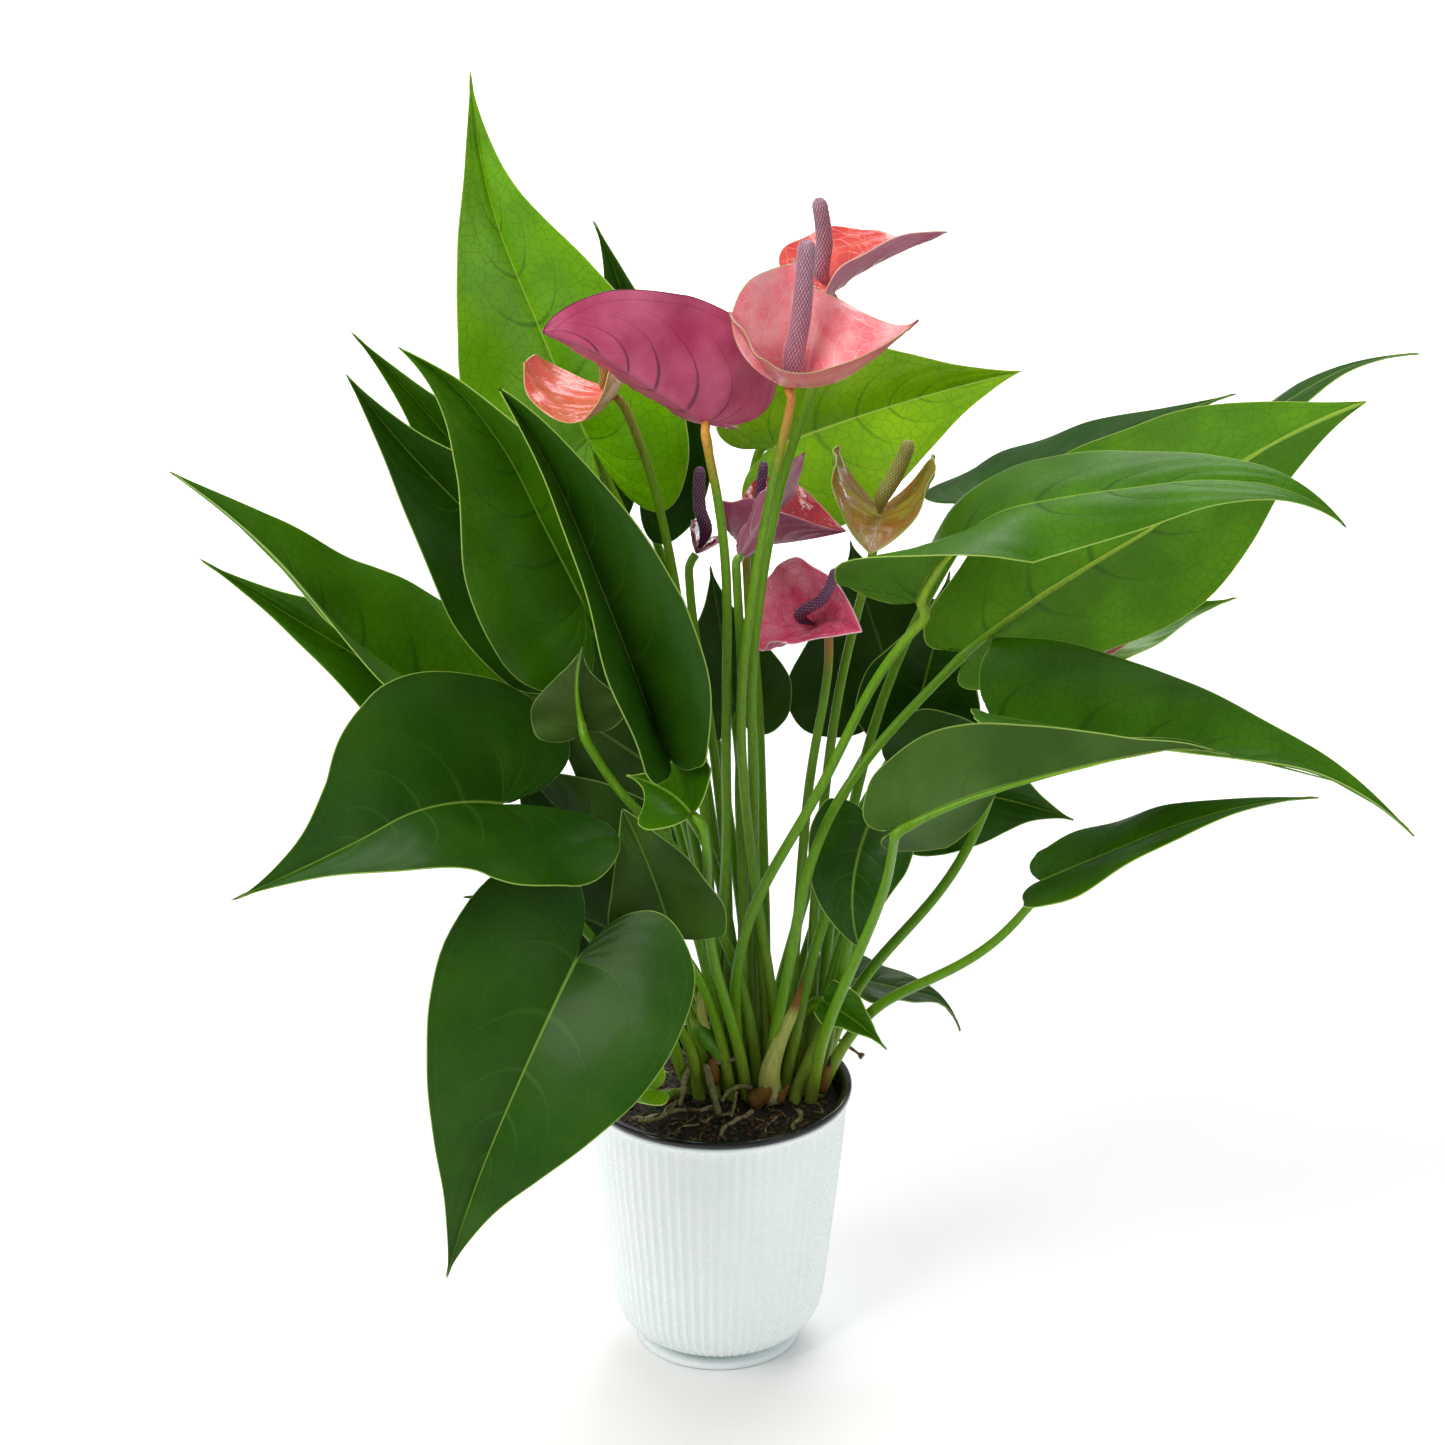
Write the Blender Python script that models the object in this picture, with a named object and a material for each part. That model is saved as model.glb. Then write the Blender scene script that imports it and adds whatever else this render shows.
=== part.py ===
"""Potted flamingo flower: a ribbed white cover pot with a black nursery pot, soil and one plant.

The frame has its origin at the centre of the pot's flat underside, +Z up, and -Y towards the
side that the photograph shows. Lengths are in metres, and those written as millimetres are
multiplied by MM. Every blade and bloom is placed by a few points read in the photograph, as
picture x, picture y and a chosen depth in mm (less is nearer the viewer).
"""

import math
from dataclasses import dataclass

import bmesh
import bpy
import numpy as np
from mathutils import Matrix, Vector

MM = 0.001

# Driving sizes, in mm
RIM_DIAMETER = 120.0
COVER_HEIGHT = 125.0
COVER_RIBS = 72
RIB_DEPTH = 0.9
FOOT_RADIUS = 37.0
SOIL_LEVEL = 119.0
BLADE_THICKNESS = 0.8
PETIOLE_RADIUS = (2.8, 1.9)
STALK_RADIUS = (2.4, 1.9)
FOOT_PITCH = 7.0
GAP = 0.3

# How the photograph was taken: its frame is 1445 picture points wide
PICTURE_CENTRE = 722.5
FOCAL_LENGTH = 5000.0
LOOK_DOWN = math.radians(23.5)
VIEW_DISTANCE = 2170 * MM
AIM = Vector((2, 0, 303)) * MM
AHEAD = Vector((0, math.cos(LOOK_DOWN), -math.sin(LOOK_DOWN)))
PICTURE_UP = Vector((0, math.sin(LOOK_DOWN), math.cos(LOOK_DOWN)))
EYE = AIM - VIEW_DISTANCE * AHEAD

TOP, BACK = 1, -1


def view_ray(px, py):
    """Direction from the eye through a picture point, one metre of depth long."""
    ray = AHEAD + PICTURE_UP * ((PICTURE_CENTRE - py) / FOCAL_LENGTH)
    ray.x = (px - PICTURE_CENTRE) / FOCAL_LENGTH
    return ray / ray.y


def from_picture(px, py, depth):
    """The place that shows at a picture point and lies at a depth in mm."""
    return EYE + view_ray(px, py) * (depth * MM - EYE.y)


class Smooth:
    """A smooth curve through points, with a share of its length from 0 to 1 as parameter."""

    def __init__(self, points):
        self.points = [Vector(p) for p in points]
        steps = [(b - a).length for a, b in zip(self.points, self.points[1:])]
        self.length = sum(steps)
        self.knots = [sum(steps[:i]) / self.length for i in range(len(self.points))]
        self.slopes = [self.slope(i) for i in range(len(self.points))]

    def slope(self, i):
        """Direction at a point: the parabola through it and its neighbours."""
        last = len(self.points) - 1
        if last == 1:
            return self.points[1] - self.points[0]
        m = min(max(i, 1), last - 1)
        back = (self.points[m] - self.points[m - 1]) / (self.knots[m] - self.knots[m - 1])
        fore = (self.points[m + 1] - self.points[m]) / (self.knots[m + 1] - self.knots[m])
        share = (self.knots[m] - self.knots[m - 1]) / (self.knots[m + 1] - self.knots[m - 1])
        middle = back.lerp(fore, share)
        if i < m:
            return back * 2 - middle
        if i > m:
            return fore * 2 - middle
        return middle

    def at(self, t):
        if t <= 0:
            return self.points[0] + self.slopes[0] * t
        if t >= 1:
            return self.points[-1] + self.slopes[-1] * (t - 1)
        i = max(k for k, knot in enumerate(self.knots[:-1]) if knot <= t)
        span = self.knots[i + 1] - self.knots[i]
        u = (t - self.knots[i]) / span
        start = self.points[i] * (1 + 2 * u) * (1 - u) ** 2 + self.slopes[i] * (span * u * (1 - u) ** 2)
        end = self.points[i + 1] * u * u * (3 - 2 * u) + self.slopes[i + 1] * (span * u * u * (u - 1))
        return start + end

    def along(self, t):
        t = min(max(t, 0.0), 1.0)
        return (self.at(t + 0.01) - self.at(t - 0.01)).normalized()


# Half outlines, from the joint round the lobe to the tip: first the lobe, as shares of the
# lobe's length behind the joint, then the blade, as shares of the midrib, each with the
# share of the half width that it stands out
LEAF_LOBE = ((0.55, 0.11), (1.0, 0.36), (0.84, 0.72), (0.28, 0.94))
LEAF_BLADE = ((0.10, 1.0), (0.25, 0.93), (0.41, 0.73), (0.58, 0.46), (0.75, 0.20), (0.89, 0.06))
SPATHE_LOBE = ((0.45, 0.10), (0.85, 0.30), (1.0, 0.55), (0.70, 0.83))
SPATHE_BLADE = ((0.02, 0.98), (0.25, 1.0), (0.48, 0.84), (0.70, 0.53), (0.87, 0.22), (0.95, 0.08))
LANCE_LOBE = ((0.5, 0.12), (1.0, 0.30), (0.5, 0.48))
LANCE_BLADE = ((0.08, 0.64), (0.24, 0.88), (0.42, 1.0), (0.60, 0.82), (0.78, 0.46), (0.92, 0.14))
WIDEST = 0.16
FOLD_END = 0.35


@dataclass
class Blade:
    """A leaf's blade or a bloom's spathe.

    rib: midrib from joint to tip, picture x, picture y, depth in mm
    width: real width in mm, both halves together
    tilt: degrees that each half leans out of the picture towards the viewer, first the half
        on the left when looking from joint to tip, then the one on the right
    shows: TOP or BACK, the face that the viewer sees where the blade is widest
    foot: column and row of the stem's place on the soil
    via: further places that the stem passes, picture x, picture y, depth in mm
    lobe: length behind the joint, as a share of the midrib
    camber: degrees that each half bends, more than 0 for edges turned under
    ears: degrees that the lobes turn up towards the upper face
    wave: mm that the edge waves, and how many waves it has
    twist: degrees that the blade turns about its midrib from joint to tip
    fold: degrees that each half folds up at the joint, fading out along the midrib
    full: under 1 for a blade that stays broad towards its tip
    """

    name: str
    rib: tuple
    width: float
    tilt: tuple
    foot: tuple = (0, 0)
    shows: int = TOP
    via: tuple = ()
    lobe: float = 0.2
    camber: float = 25.0
    ears: float = 12.0
    wave: tuple = (1.5, 2.5)
    twist: float = 0.0
    fold: tuple = (0.0, 0.0)
    full: float = 1.0
    lobe_points: tuple = LEAF_LOBE
    blade_points: tuple = LEAF_BLADE

    def __post_init__(self):
        self.curve = Smooth([from_picture(*p) for p in self.rib])
        self.half_width = self.width * MM / 2
        along = self.curve.along(WIDEST)
        sight = (self.curve.at(WIDEST) - EYE).normalized()
        left = sight.cross(along).normalized() * -1
        near = (along * sight.dot(along) - sight).normalized()
        lean = [math.radians(degrees) for degrees in self.tilt]
        self.outs = [left * math.cos(lean[0]) + near * math.sin(lean[0]),
                     left * -math.cos(lean[1]) + near * math.sin(lean[1])]
        ups = [along.cross(self.outs[0]), self.outs[1].cross(along)]
        turn = 1 if (ups[0] + ups[1]).dot(-sight) * self.shows > 0 else -1
        self.turns = (turn, -turn)

    def axes(self, half, a):
        """Midrib direction, outward direction and upper face of one half at a station."""
        along = self.curve.along(a)
        turn = Matrix.Rotation(math.radians(self.twist) * (a - WIDEST), 3, along)
        out = turn @ self.outs[half]
        out = (out - along * out.dot(along)).normalized()
        fold = math.radians(self.fold[half]) * max(0.0, 1 - a / FOLD_END)
        out = out * math.cos(fold) + along.cross(out) * (self.turns[half] * math.sin(fold))
        return along, out, along.cross(out) * self.turns[half]

    def point(self, half, a, b):
        """A place on the upper face: station a along the midrib, share b of the half width."""
        station = max(a, 0.0)
        along, out, up = self.axes(half, station)
        place = self.curve.at(station)
        height = self.wave[0] * MM * b * b * math.sin(math.tau * self.wave[1] * a + 2.4 * half)
        if a < 0:
            rise = math.radians(self.ears)
            back = up * math.sin(rise) - along * math.cos(rise)
            place = place - back * (a * self.curve.length)
        bend = math.radians(self.camber)
        if abs(bend) < 0.01:
            return place + out * (b * self.half_width) + up * height
        reach = (math.sin(bend / 2) - math.sin(bend / 2 - bend * b)) / bend
        rise = (math.cos(bend / 2 - bend * b) - math.cos(bend / 2)) / bend
        return place + out * (reach * self.half_width) + up * (rise * self.half_width + height)

    def face(self):
        """The mean direction of the upper face at the joint."""
        ups = [self.axes(half, 0.0)[2] for half in (0, 1)]
        return (ups[0] + ups[1]).normalized()

    def outline(self):
        """Half outline as stations and shares of the half width, joint and tip left out."""
        lobes = [(-self.lobe * a, b) for a, b in self.lobe_points]
        return lobes + [(a, b ** self.full) for a, b in self.blade_points]

    def roots(self):
        """Station on the midrib that each outline point's strip starts from."""
        lobes = len(self.lobe_points)
        count = len(self.blade_points)
        return [0.0] * lobes + [(i + 0.6) / (count + 0.6) * 0.9 for i in range(count)]


# Shares of the half width that carry a row of points; small flat blades have only the last
ACROSS = (0.5, 1.0)
SMALL_WIDTH = 79


def blade_sheet(blade):
    """Vertices of the upper face and its triangles, and the edge loop round it."""
    outline, roots = blade.outline(), blade.roots()
    stations = sorted(set(roots))
    rib = [blade.curve.at(a) for a in stations] + [blade.curve.at(1.0)]
    across = ACROSS if blade.width > SMALL_WIDTH or blade.twist else ACROSS[1:]
    tip = len(rib) - 1
    points, triangles, edges = list(rib), [], []
    for half in (0, 1):
        strips = []
        for (a, b), root in zip(outline, roots):
            strip = [stations.index(root)]
            for share in across:
                strip.append(len(points))
                points.append(blade.point(half, root + (a - root) * share, b * share))
            strips.append(strip)
        strips.append([tip])
        faces = []
        for one, two in zip(strips, strips[1:]):
            if len(two) == 1:
                faces += [(a, b, tip) for a, b in zip(one, one[1:])]
                continue
            if one[0] != two[0]:
                faces.append((one[0], two[1], two[0]))
            faces.append((one[0], one[1], two[1]))
            for c, d, e, f in zip(one[1:], one[2:], two[1:], two[2:]):
                faces += [(c, d, f), (c, f, e)]
        edge = strips[0] + [strip[-1] for strip in strips[1:]]
        if blade.turns[half] > 0:
            faces = [face[::-1] for face in faces]
        triangles += faces
        edges.append(edge)
    # the strips of the second half run the other way round
    loop = edges[0] + edges[1][-2:0:-1]
    return points, triangles, loop


SHARP_EDGE = math.radians(38)


def shade(mesh):
    """Round surfaces shade smoothly; edges sharper than the angle stay crisp."""
    mesh.shade_smooth()
    mesh.set_sharp_from_angle(angle=SHARP_EDGE)


def new_object(name, points, faces, material):
    mesh = bpy.data.meshes.new(name)
    mesh.from_pydata([tuple(p) for p in points], [], faces)
    mesh.validate()
    bm = bmesh.new()
    bm.from_mesh(mesh)
    bmesh.ops.recalc_face_normals(bm, faces=bm.faces)
    if bm.calc_volume(signed=True) < 0:
        bmesh.ops.reverse_faces(bm, faces=bm.faces)
    bm.to_mesh(mesh)
    bm.free()
    shade(mesh)
    thing = bpy.data.objects.new(name, mesh)
    bpy.context.collection.objects.link(thing)
    thing.data.materials.append(material)
    return thing


def blade_solid(blade, material):
    """A closed sheet: the upper face, the same triangles below it, and the edge between."""
    points, triangles, loop = blade_sheet(blade)
    normals = [Vector() for _ in points]
    for a, b, c in triangles:
        normal = (points[b] - points[a]).cross(points[c] - points[a])
        for i in (a, b, c):
            normals[i] += normal
    if sum((n.dot(blade.face()) for n in normals)) < 0:
        triangles = [face[::-1] for face in triangles]
        normals = [-n for n in normals]
    under = [p - n.normalized() * (BLADE_THICKNESS * MM) for p, n in zip(points, normals)]
    count = len(points)
    faces = triangles + [tuple(i + count for i in face[::-1]) for face in triangles]
    for a, b in zip(loop, loop[1:] + loop[:1]):
        faces += [(a, b, b + count), (a, b + count, a + count)]
    return new_object(blade.name, points + under, faces, material)


def tube(name, centres, radii, material, sides=5, relief=0.0):
    """A closed tube with its rings square to its centre line; relief dents every second corner."""
    count = len(centres)
    tangents = [(centres[min(i + 1, count - 1)] - centres[max(i - 1, 0)]).normalized() for i in range(count)]
    first = tangents[0].orthogonal().normalized()
    points = []
    for i, (centre, radius) in enumerate(zip(centres, radii)):
        first = (first - tangents[i] * first.dot(tangents[i])).normalized()
        second = tangents[i].cross(first)
        for k in range(sides):
            angle = math.tau * k / sides
            reach = radius * (1 - relief * ((i + k) % 2))
            points.append(centre + (first * math.cos(angle) + second * math.sin(angle)) * reach)
    faces = []
    for i in range(count - 1):
        for k in range(sides):
            a, b = i * sides + k, i * sides + (k + 1) % sides
            c, d = a + sides, b + sides
            faces += [(a, b, c), (b, d, c)] if (i + k) % 2 else [(a, d, c), (a, b, d)]
    last = (count - 1) * sides
    faces += [(0, k + 1, k) for k in range(1, sides - 1)]
    faces += [(last, last + k, last + k + 1) for k in range(1, sides - 1)]
    return new_object(name, points, faces, material)


def combine(thing, others, operation="UNION"):
    """One Boolean of an object with several others, which are then removed."""
    group = bpy.data.collections.new("tools")
    for other in others:
        group.objects.link(other)
    step = thing.modifiers.new("combine", "BOOLEAN")
    step.operation = operation
    step.operand_type = "COLLECTION"
    step.collection = group
    step.solver = "EXACT"
    step.use_self = True
    whole = thing.evaluated_get(bpy.context.evaluated_depsgraph_get())
    mesh = bpy.data.meshes.new_from_object(whole)
    shade(mesh)
    thing.modifiers.clear()
    thing.data = mesh
    for other in others:
        bpy.data.objects.remove(other)
    bpy.data.collections.remove(group)
    return thing

LANCE = dict(lobe_points=LANCE_LOBE, blade_points=LANCE_BLADE)

# The leaves, from the top left round to the right; the blooms follow
LEAVES = [
    Blade("leaf_crest", ((588, 440, 75), (540, 330, 80), (490, 200, 92), (470, 68, 95)),
          width=98, tilt=(22, 22), foot=(1, 3), lobe=0.22),
    Blade("leaf_crest_back", ((640, 480, 112), (634, 340, 120), (592, 218, 124)),
          width=76, tilt=(20, 35), foot=(2, 3)),
    Blade("leaf_upper_left", ((582, 600, 0), (545, 528, -8), (497, 439, -14), (440, 374, -17), (397, 347, -18)),
          width=95, tilt=(22, 52), foot=(1, 1), full=0.75),
    Blade("leaf_front_tall", ((650, 715, -45), (606, 600, -58), (545, 460, -64), (498, 387, -66)),
          width=80, tilt=(74, 30), foot=(0, -1), full=0.5, lobe=0.1, fold=(0, 30),
          via=((690, 900, -22), (655, 770, -36))),
    Blade("leaf_left_dark", ((572, 612, 50), (470, 515, 42), (398, 440, 38), (345, 373, 34)),
          width=98, tilt=(28, 40), foot=(1, 2), full=0.85),
    Blade("leaf_left_back", ((565, 590, 100), (450, 440, 92), (349, 330, 82)),
          width=88, tilt=(35, 35), foot=(0, 3)),
    Blade("leaf_left_long", ((468, 716, 25), (390, 668, 20), (335, 625, 17), (265, 548, 14),
                               (170, 471, 12)),
          width=100, tilt=(80, -38), foot=(0, 1), full=0.85),
    Blade("leaf_left_under", ((470, 722, 64), (330, 640, 59), (198, 558, 54)),
          width=72, tilt=(48, 20), foot=(0, 2)),
    Blade("leaf_left_heart", ((502, 804, -49), (412, 813, -82), (360, 840, -104), (231, 901, -139)),
          width=126, tilt=(52, -22), foot=(-2, -1), lobe=0.26, full=1.1,
          via=((664, 1020, -44), (600, 950, -69), (534, 865, -64))),
    Blade("leaf_front_heart", ((576, 960, -85), (522, 1075, -112), (478, 1180, -120), (446, 1280, -118)),
          width=112, tilt=(15, 18), foot=(-1, -2), lobe=0.19),
    Blade("leaf_fold_small", ((690, 812, -64), (665, 790, -50), (625, 775, -42)),
          width=46, tilt=(30, 30), foot=(2, -2), wave=(0.6, 1.0),
          via=((724, 1005, -22), (700, 940, -36), (710, 880, -46), (709, 850, -56))),
    Blade("leaf_backlit", ((672, 935, -60), (649, 867, -56), (622, 808, -48)),
          width=54, tilt=(15, 25), foot=(1, -2), lobe=0.04, full=0.6),
    Blade("leaf_shade_left", ((600, 875, -14), (550, 800, -9), (500, 755, -4)),
          width=80, tilt=(5, 20), foot=(-1, -1)),
    Blade("leaf_shade_front", ((612, 930, -28), (540, 905, -33), (462, 897, -35)),
          width=60, tilt=(15, 15), foot=(0, -2)),
    Blade("leaf_rim", ((652, 1090, -38), (625, 1092, -42), (597, 1101, -46)),
          width=28, tilt=(60, 5), foot=(-3, -1), wave=(0.3, 1.0),
          via=((672, 1100, -24),)),
    Blade("leaf_small_heart", ((582, 724, -38), (577, 685, -33), (583, 646, -24)),
          width=46, tilt=(-20, -20), foot=(2, -1), shows=BACK,
          via=((678, 850, -30),)),
    Blade("leaf_centre_left", ((650, 765, 2), (580, 720, 4), (517, 690, 4)),
          width=60, tilt=(10, 10), foot=(2, 2)),
    Blade("leaf_gold", ((775, 446, 86), (824, 428, 92), (907, 401, 104), (1022, 371, 111)),
          width=88, tilt=(25, 5), foot=(3, 2), full=0.8),
    Blade("leaf_right_back", ((985, 500, 84), (1060, 464, 86), (1140, 428, 88), (1236, 393, 88)),
          width=70, tilt=(-64, 50), foot=(6, 2)),
    Blade("leaf_right_front", ((918, 600, -50), (948, 550, -60), (1000, 512, -68), (1060, 498, -72),
                               (1130, 488, -74), (1210, 480, -74), (1287, 490, -72), (1347, 527, -70)),
          width=78, tilt=(-74, 52), foot=(1, -1), lobe=0.04, ears=0, fold=(0, 110), full=0.65,
          via=((736, 960, -14), (745, 915, -24), (787, 847, -40), (847, 743, -50), (898, 637, -53))),
    Blade("leaf_right_great", ((968, 650, 8), (1065, 580, 20), (1140, 536, 28), (1260, 451, 38),
                               (1368, 401, 42)),
          width=104, tilt=(-22, -38), foot=(3, -2), shows=BACK, lobe=0.06,
          via=((792, 960, -22), (803, 880, -37), (825, 810, -36), (867, 755, -22), (916, 702, -6)), **LANCE),
    Blade("leaf_right_tail", ((994, 717, -23), (1060, 728, -28), (1150, 742, -38), (1240, 757, -50),
                              (1325, 776, -62), (1415, 836, -72)),
          width=90, tilt=(-35, 82), foot=(5, -1), lobe=0.05, full=1.0,
          via=((880, 850, 13), (930, 765, -4))),
    Blade("leaf_right_twist", ((910, 824, -88), (975, 795, -92), (1037, 777, -92), (1120, 757, -88),
                               (1190, 748, -82), (1236, 758, -78)),
          width=64, tilt=(-5, -75), foot=(6, -2), shows=BACK, twist=110, lobe=0.15,
          via=((824, 1030, -26), (856, 960, -40), (882, 900, -58), (896, 855, -80))),
    Blade("leaf_right_low", ((1043, 880, -40), (1110, 852, -46), (1180, 824, -50), (1250, 805, -50),
                             (1319, 797, -46)),
          width=52, tilt=(-60, 65), foot=(6, -1), lobe=0.05,
          via=((898, 992, -14), (953, 972, -24), (999, 951, -30), (1022, 921, -34))),
    Blade("leaf_right_teal", ((905, 775, 64), (960, 790, 66), (1020, 803, 70), (1076, 821, 74)),
          width=76, tilt=(30, 30), foot=(5, 2)),
    Blade("leaf_centre_right", ((915, 715, 84), (935, 640, 86), (950, 570, 84)),
          width=60, tilt=(20, 20), foot=(4, 3)),
    Blade("leaf_centre_back", ((893, 682, 110), (872, 620, 112), (850, 540, 112)),
          width=100, tilt=(10, 10), foot=(3, 3)),
    Blade("leaf_centre_deep", ((733, 705, 58), (722, 637, 60), (710, 565, 60)),
          width=56, tilt=(15, 15), foot=(2, 1)),
    Blade("leaf_droop", ((868, 826, -12), (853, 885, -24), (860, 948, -22)),
          width=48, tilt=(15, 15), foot=(5, -2), lobe=0.1, full=0.6,
          via=((846, 950, 4), (862, 880, 0))),
    Blade("leaf_notch", ((893, 812, -5), (903, 842, -7), (905, 868, -8)),
          width=20, tilt=(20, 20), foot=(4, -1)),
    Blade("leaf_low_right", ((850, 978, 42), (905, 990, 46), (940, 1001, 47), (961, 1031, 46)),
          width=32, tilt=(-50, 60), foot=(4, 1), lobe=0.05),
    Blade("leaf_low_tip", ((825, 1002, -2), (855, 1021, -6), (887, 1050, -8)),
          width=26, tilt=(30, 50), foot=(3, 1), lobe=0.05),
    Blade("leaf_far_right", ((1205, 455, 120), (1285, 402, 122), (1345, 369, 122), (1419, 353, 118)),
          width=46, tilt=(-80, 65), foot=(5, 3), lobe=0.06,
          via=((848, 900, 44), (960, 700, 100))),
    Blade("leaf_right_under", ((1070, 628, 76), (1130, 630, 78), (1185, 614, 82), (1237, 597, 86)),
          width=50, tilt=(-30, 55), foot=(6, 1), lobe=0.08,
          via=((868, 962, 20), (939, 903, 28), (985, 820, 36), (1013, 723, 48))),
]

SPATHE = dict(lobe_points=SPATHE_LOBE, blade_points=SPATHE_BLADE, camber=-35.0)

SPATHES = [
    Blade("spathe_purple", ((706, 422, -72), (640, 380, -82), (585, 346, -88), (542, 331, -88)),
          width=86, tilt=(-88, -8), shows=BACK, lobe=0.34, ears=20, full=0.6, foot=(-0.6, 0),
          via=((726, 880, -2), (733, 690, -24), (729, 589, -40), (717, 483, -58)), **SPATHE),
    Blade("spathe_pink", ((788, 386, -70), (835, 381, -78), (872, 358, -84), (898, 337, -88), (919, 320, -90)),
          width=106, tilt=(5, 100), lobe=0.42, ears=50, fold=(0, 15), full=1.7, foot=(4.02, 0),
          via=((750, 850, -8), (742, 659, -45), (760, 553, -48), (774, 466, -55)), **SPATHE),
    Blade("spathe_salmon", ((824, 290, -25), (870, 266, -30), (915, 244, -32), (947, 231, -30)),
          width=60, tilt=(-45, 88), twist=-60, lobe=0.3, ears=40, foot=(3.25, 0),
          via=((752, 850, 6), (750, 659, -35), (766, 553, -36), (788, 440, -28)), **SPATHE),
    Blade("spathe_peach", ((614, 394, 15), (602, 408, -8), (583, 420, -34)),
          width=90, tilt=(136, -14), lobe=0.3, ears=20, foot=(0.17, 0), **dict(SPATHE, camber=-100.0)),
    Blade("spathe_roll", ((741, 556, -14), (765, 515, -18), (805, 452, -20)),
          width=50, tilt=(-78, -78), shows=BACK, lobe=0.06, foot=(1.71, 0),
          via=((742, 800, -6), (738, 640, -30)), **SPATHE),
    Blade("spathe_crimson", ((744, 545, 44), (795, 540, 36), (846, 530, 28)),
          width=66, tilt=(-28, 128), lobe=0.1, ears=30, foot=(2.48, 0), **SPATHE),
    Blade("spathe_wine", ((697, 552, 35), (701, 544, 57), (705, 536, 79)),
          width=26, tilt=(55, 55), lobe=0.25, foot=(0.94, 0), **SPATHE),
    Blade("spathe_magenta", ((812, 628, 3), (838, 620, -14), (862, 632, -30)),
          width=62, tilt=(4, 94), lobe=0.5, ears=55, foot=(4.79, 0), **SPATHE),
    Blade("spathe_lime", ((880, 512, 30), (877, 530, 12), (870, 554, -8)),
          width=78, tilt=(58, 52), lobe=0.25, foot=(5.56, 0), **dict(SPATHE, camber=-70.0)),
    Blade("spathe_hidden", ((1055, 635, 55), (1105, 636, 52), (1149, 625, 50)),
          width=40, tilt=(-60, 60), lobe=0.3, foot=(6.33, 0), **SPATHE),
]


# The spadix of each bloom: where it ends, as picture x, picture y and depth in mm, or None
# where it is hidden and stands straight out of the spathe, then its thickness and its height
# over the spathe's face at its foot, both in mm
SPADICES = {
    "spathe_pink": ((807, 240, -80), 8.8, 1.75),
    "spathe_salmon": ((818, 198, -32), 7.6, 0.8),
    "spathe_peach": ((599, 356, 8), 5.0, 0.9),
    "spathe_crimson": ((764, 461, 34), 5.0, 1.15),
    "spathe_wine": ((700, 467, 24), 6.0, 1.55),
    "spathe_magenta": ((835, 570, -37), 5.2, 1.2),
    "spathe_lime": ((910, 440, 28), 7.4, 1.75),
    "spathe_purple": (None, 7.6, 1.25),
    "spathe_hidden": (None, 5.0, 0.8),
}
SPADIX_LENGTH = 46.0
# How far along the midrib its foot stands, and how far apart its rings of florets are, in mm
SPADIX_SEAT = 4.0
SPADIX_STEP = 6.2
# Its thin foot and its blunt tip: distance from the end in mm, share of the thickness
SPADIX_FOOT = ((0.0, 0.25), (3.0, 0.45), (8.0, 0.9))
SPADIX_TIP = ((1.2, 0.55), (0.0, 0.3))
SPADIX_TAPER = 0.18
SPADIX_BLUNT = 4.0
SPADIX_SIDES = 8
FLORET_RELIEF = 0.1

# The crown's middle on the soil, and the row of flower stalks that it carries
CROWN = Vector((22, 10, 0)) * MM
ROW_START = 7.6
RHIZOME_RADIUS = 3.4

# A stem: the depth of its foot, how far it rises straight, and the last stretch below its joint
FOOT_DEPTH = 8.0
FOOT_RISE = 5.0
NECK = 9.0
NECK_BEND = 14.0
NECK_SLANT = 0.6
# Where a stem without places of its own passes: share of the way out, and share of its rise
FREE_BENDS = ((0.18, 0.40), (0.55, 0.80))
# How stems are eased apart: step along the stem, room between stems and to blades, in mm, then
# how much of a lack is made up in one round, how stiff the stem is, and what holds at its ends
STEM_SPACING = 6.0
STEM_CLEARANCE = 1.8
BLADE_CLEARANCE = 6.5
EASING_ROUNDS = 80
EASING_PUSH = 0.5
EASING_SPREAD = (1, 2, 3, 4, 3, 2, 1)
STIFFNESS = 0.12
FOOT_HOLD, JOINT_HOLD, HOLD_FADE = 10.0, 8.0, 14.0
# The solid stem: length of its straight pieces, its swollen foot, and its thin end at a bloom
STEM_SEGMENT = 42.0
FOOT_SWELL, SWELL_LENGTH = 0.15, 30.0
STALK_END = 0.6
HOLE_GAP = 0.4
# The petiole goes on under the midrib: station and share of its thickness, just in the blade
UNDER_MIDRIB = ((0.06, 0.75), (0.30, 0.4))
MIDRIB_SINK = 0.2


def foot_place(column, row):
    """A stem's place on the soil: row 0 is the crown's own, others lie in front and behind."""
    x = CROWN.x + (column - 3.25 + 0.5 * (row % 2)) * FOOT_PITCH * MM
    y = CROWN.y
    if row:
        y += math.copysign(ROW_START + (abs(row) - 1) * FOOT_PITCH * 0.9, row) * MM
    return Vector((x, y, SOIL_LEVEL * MM))


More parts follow.
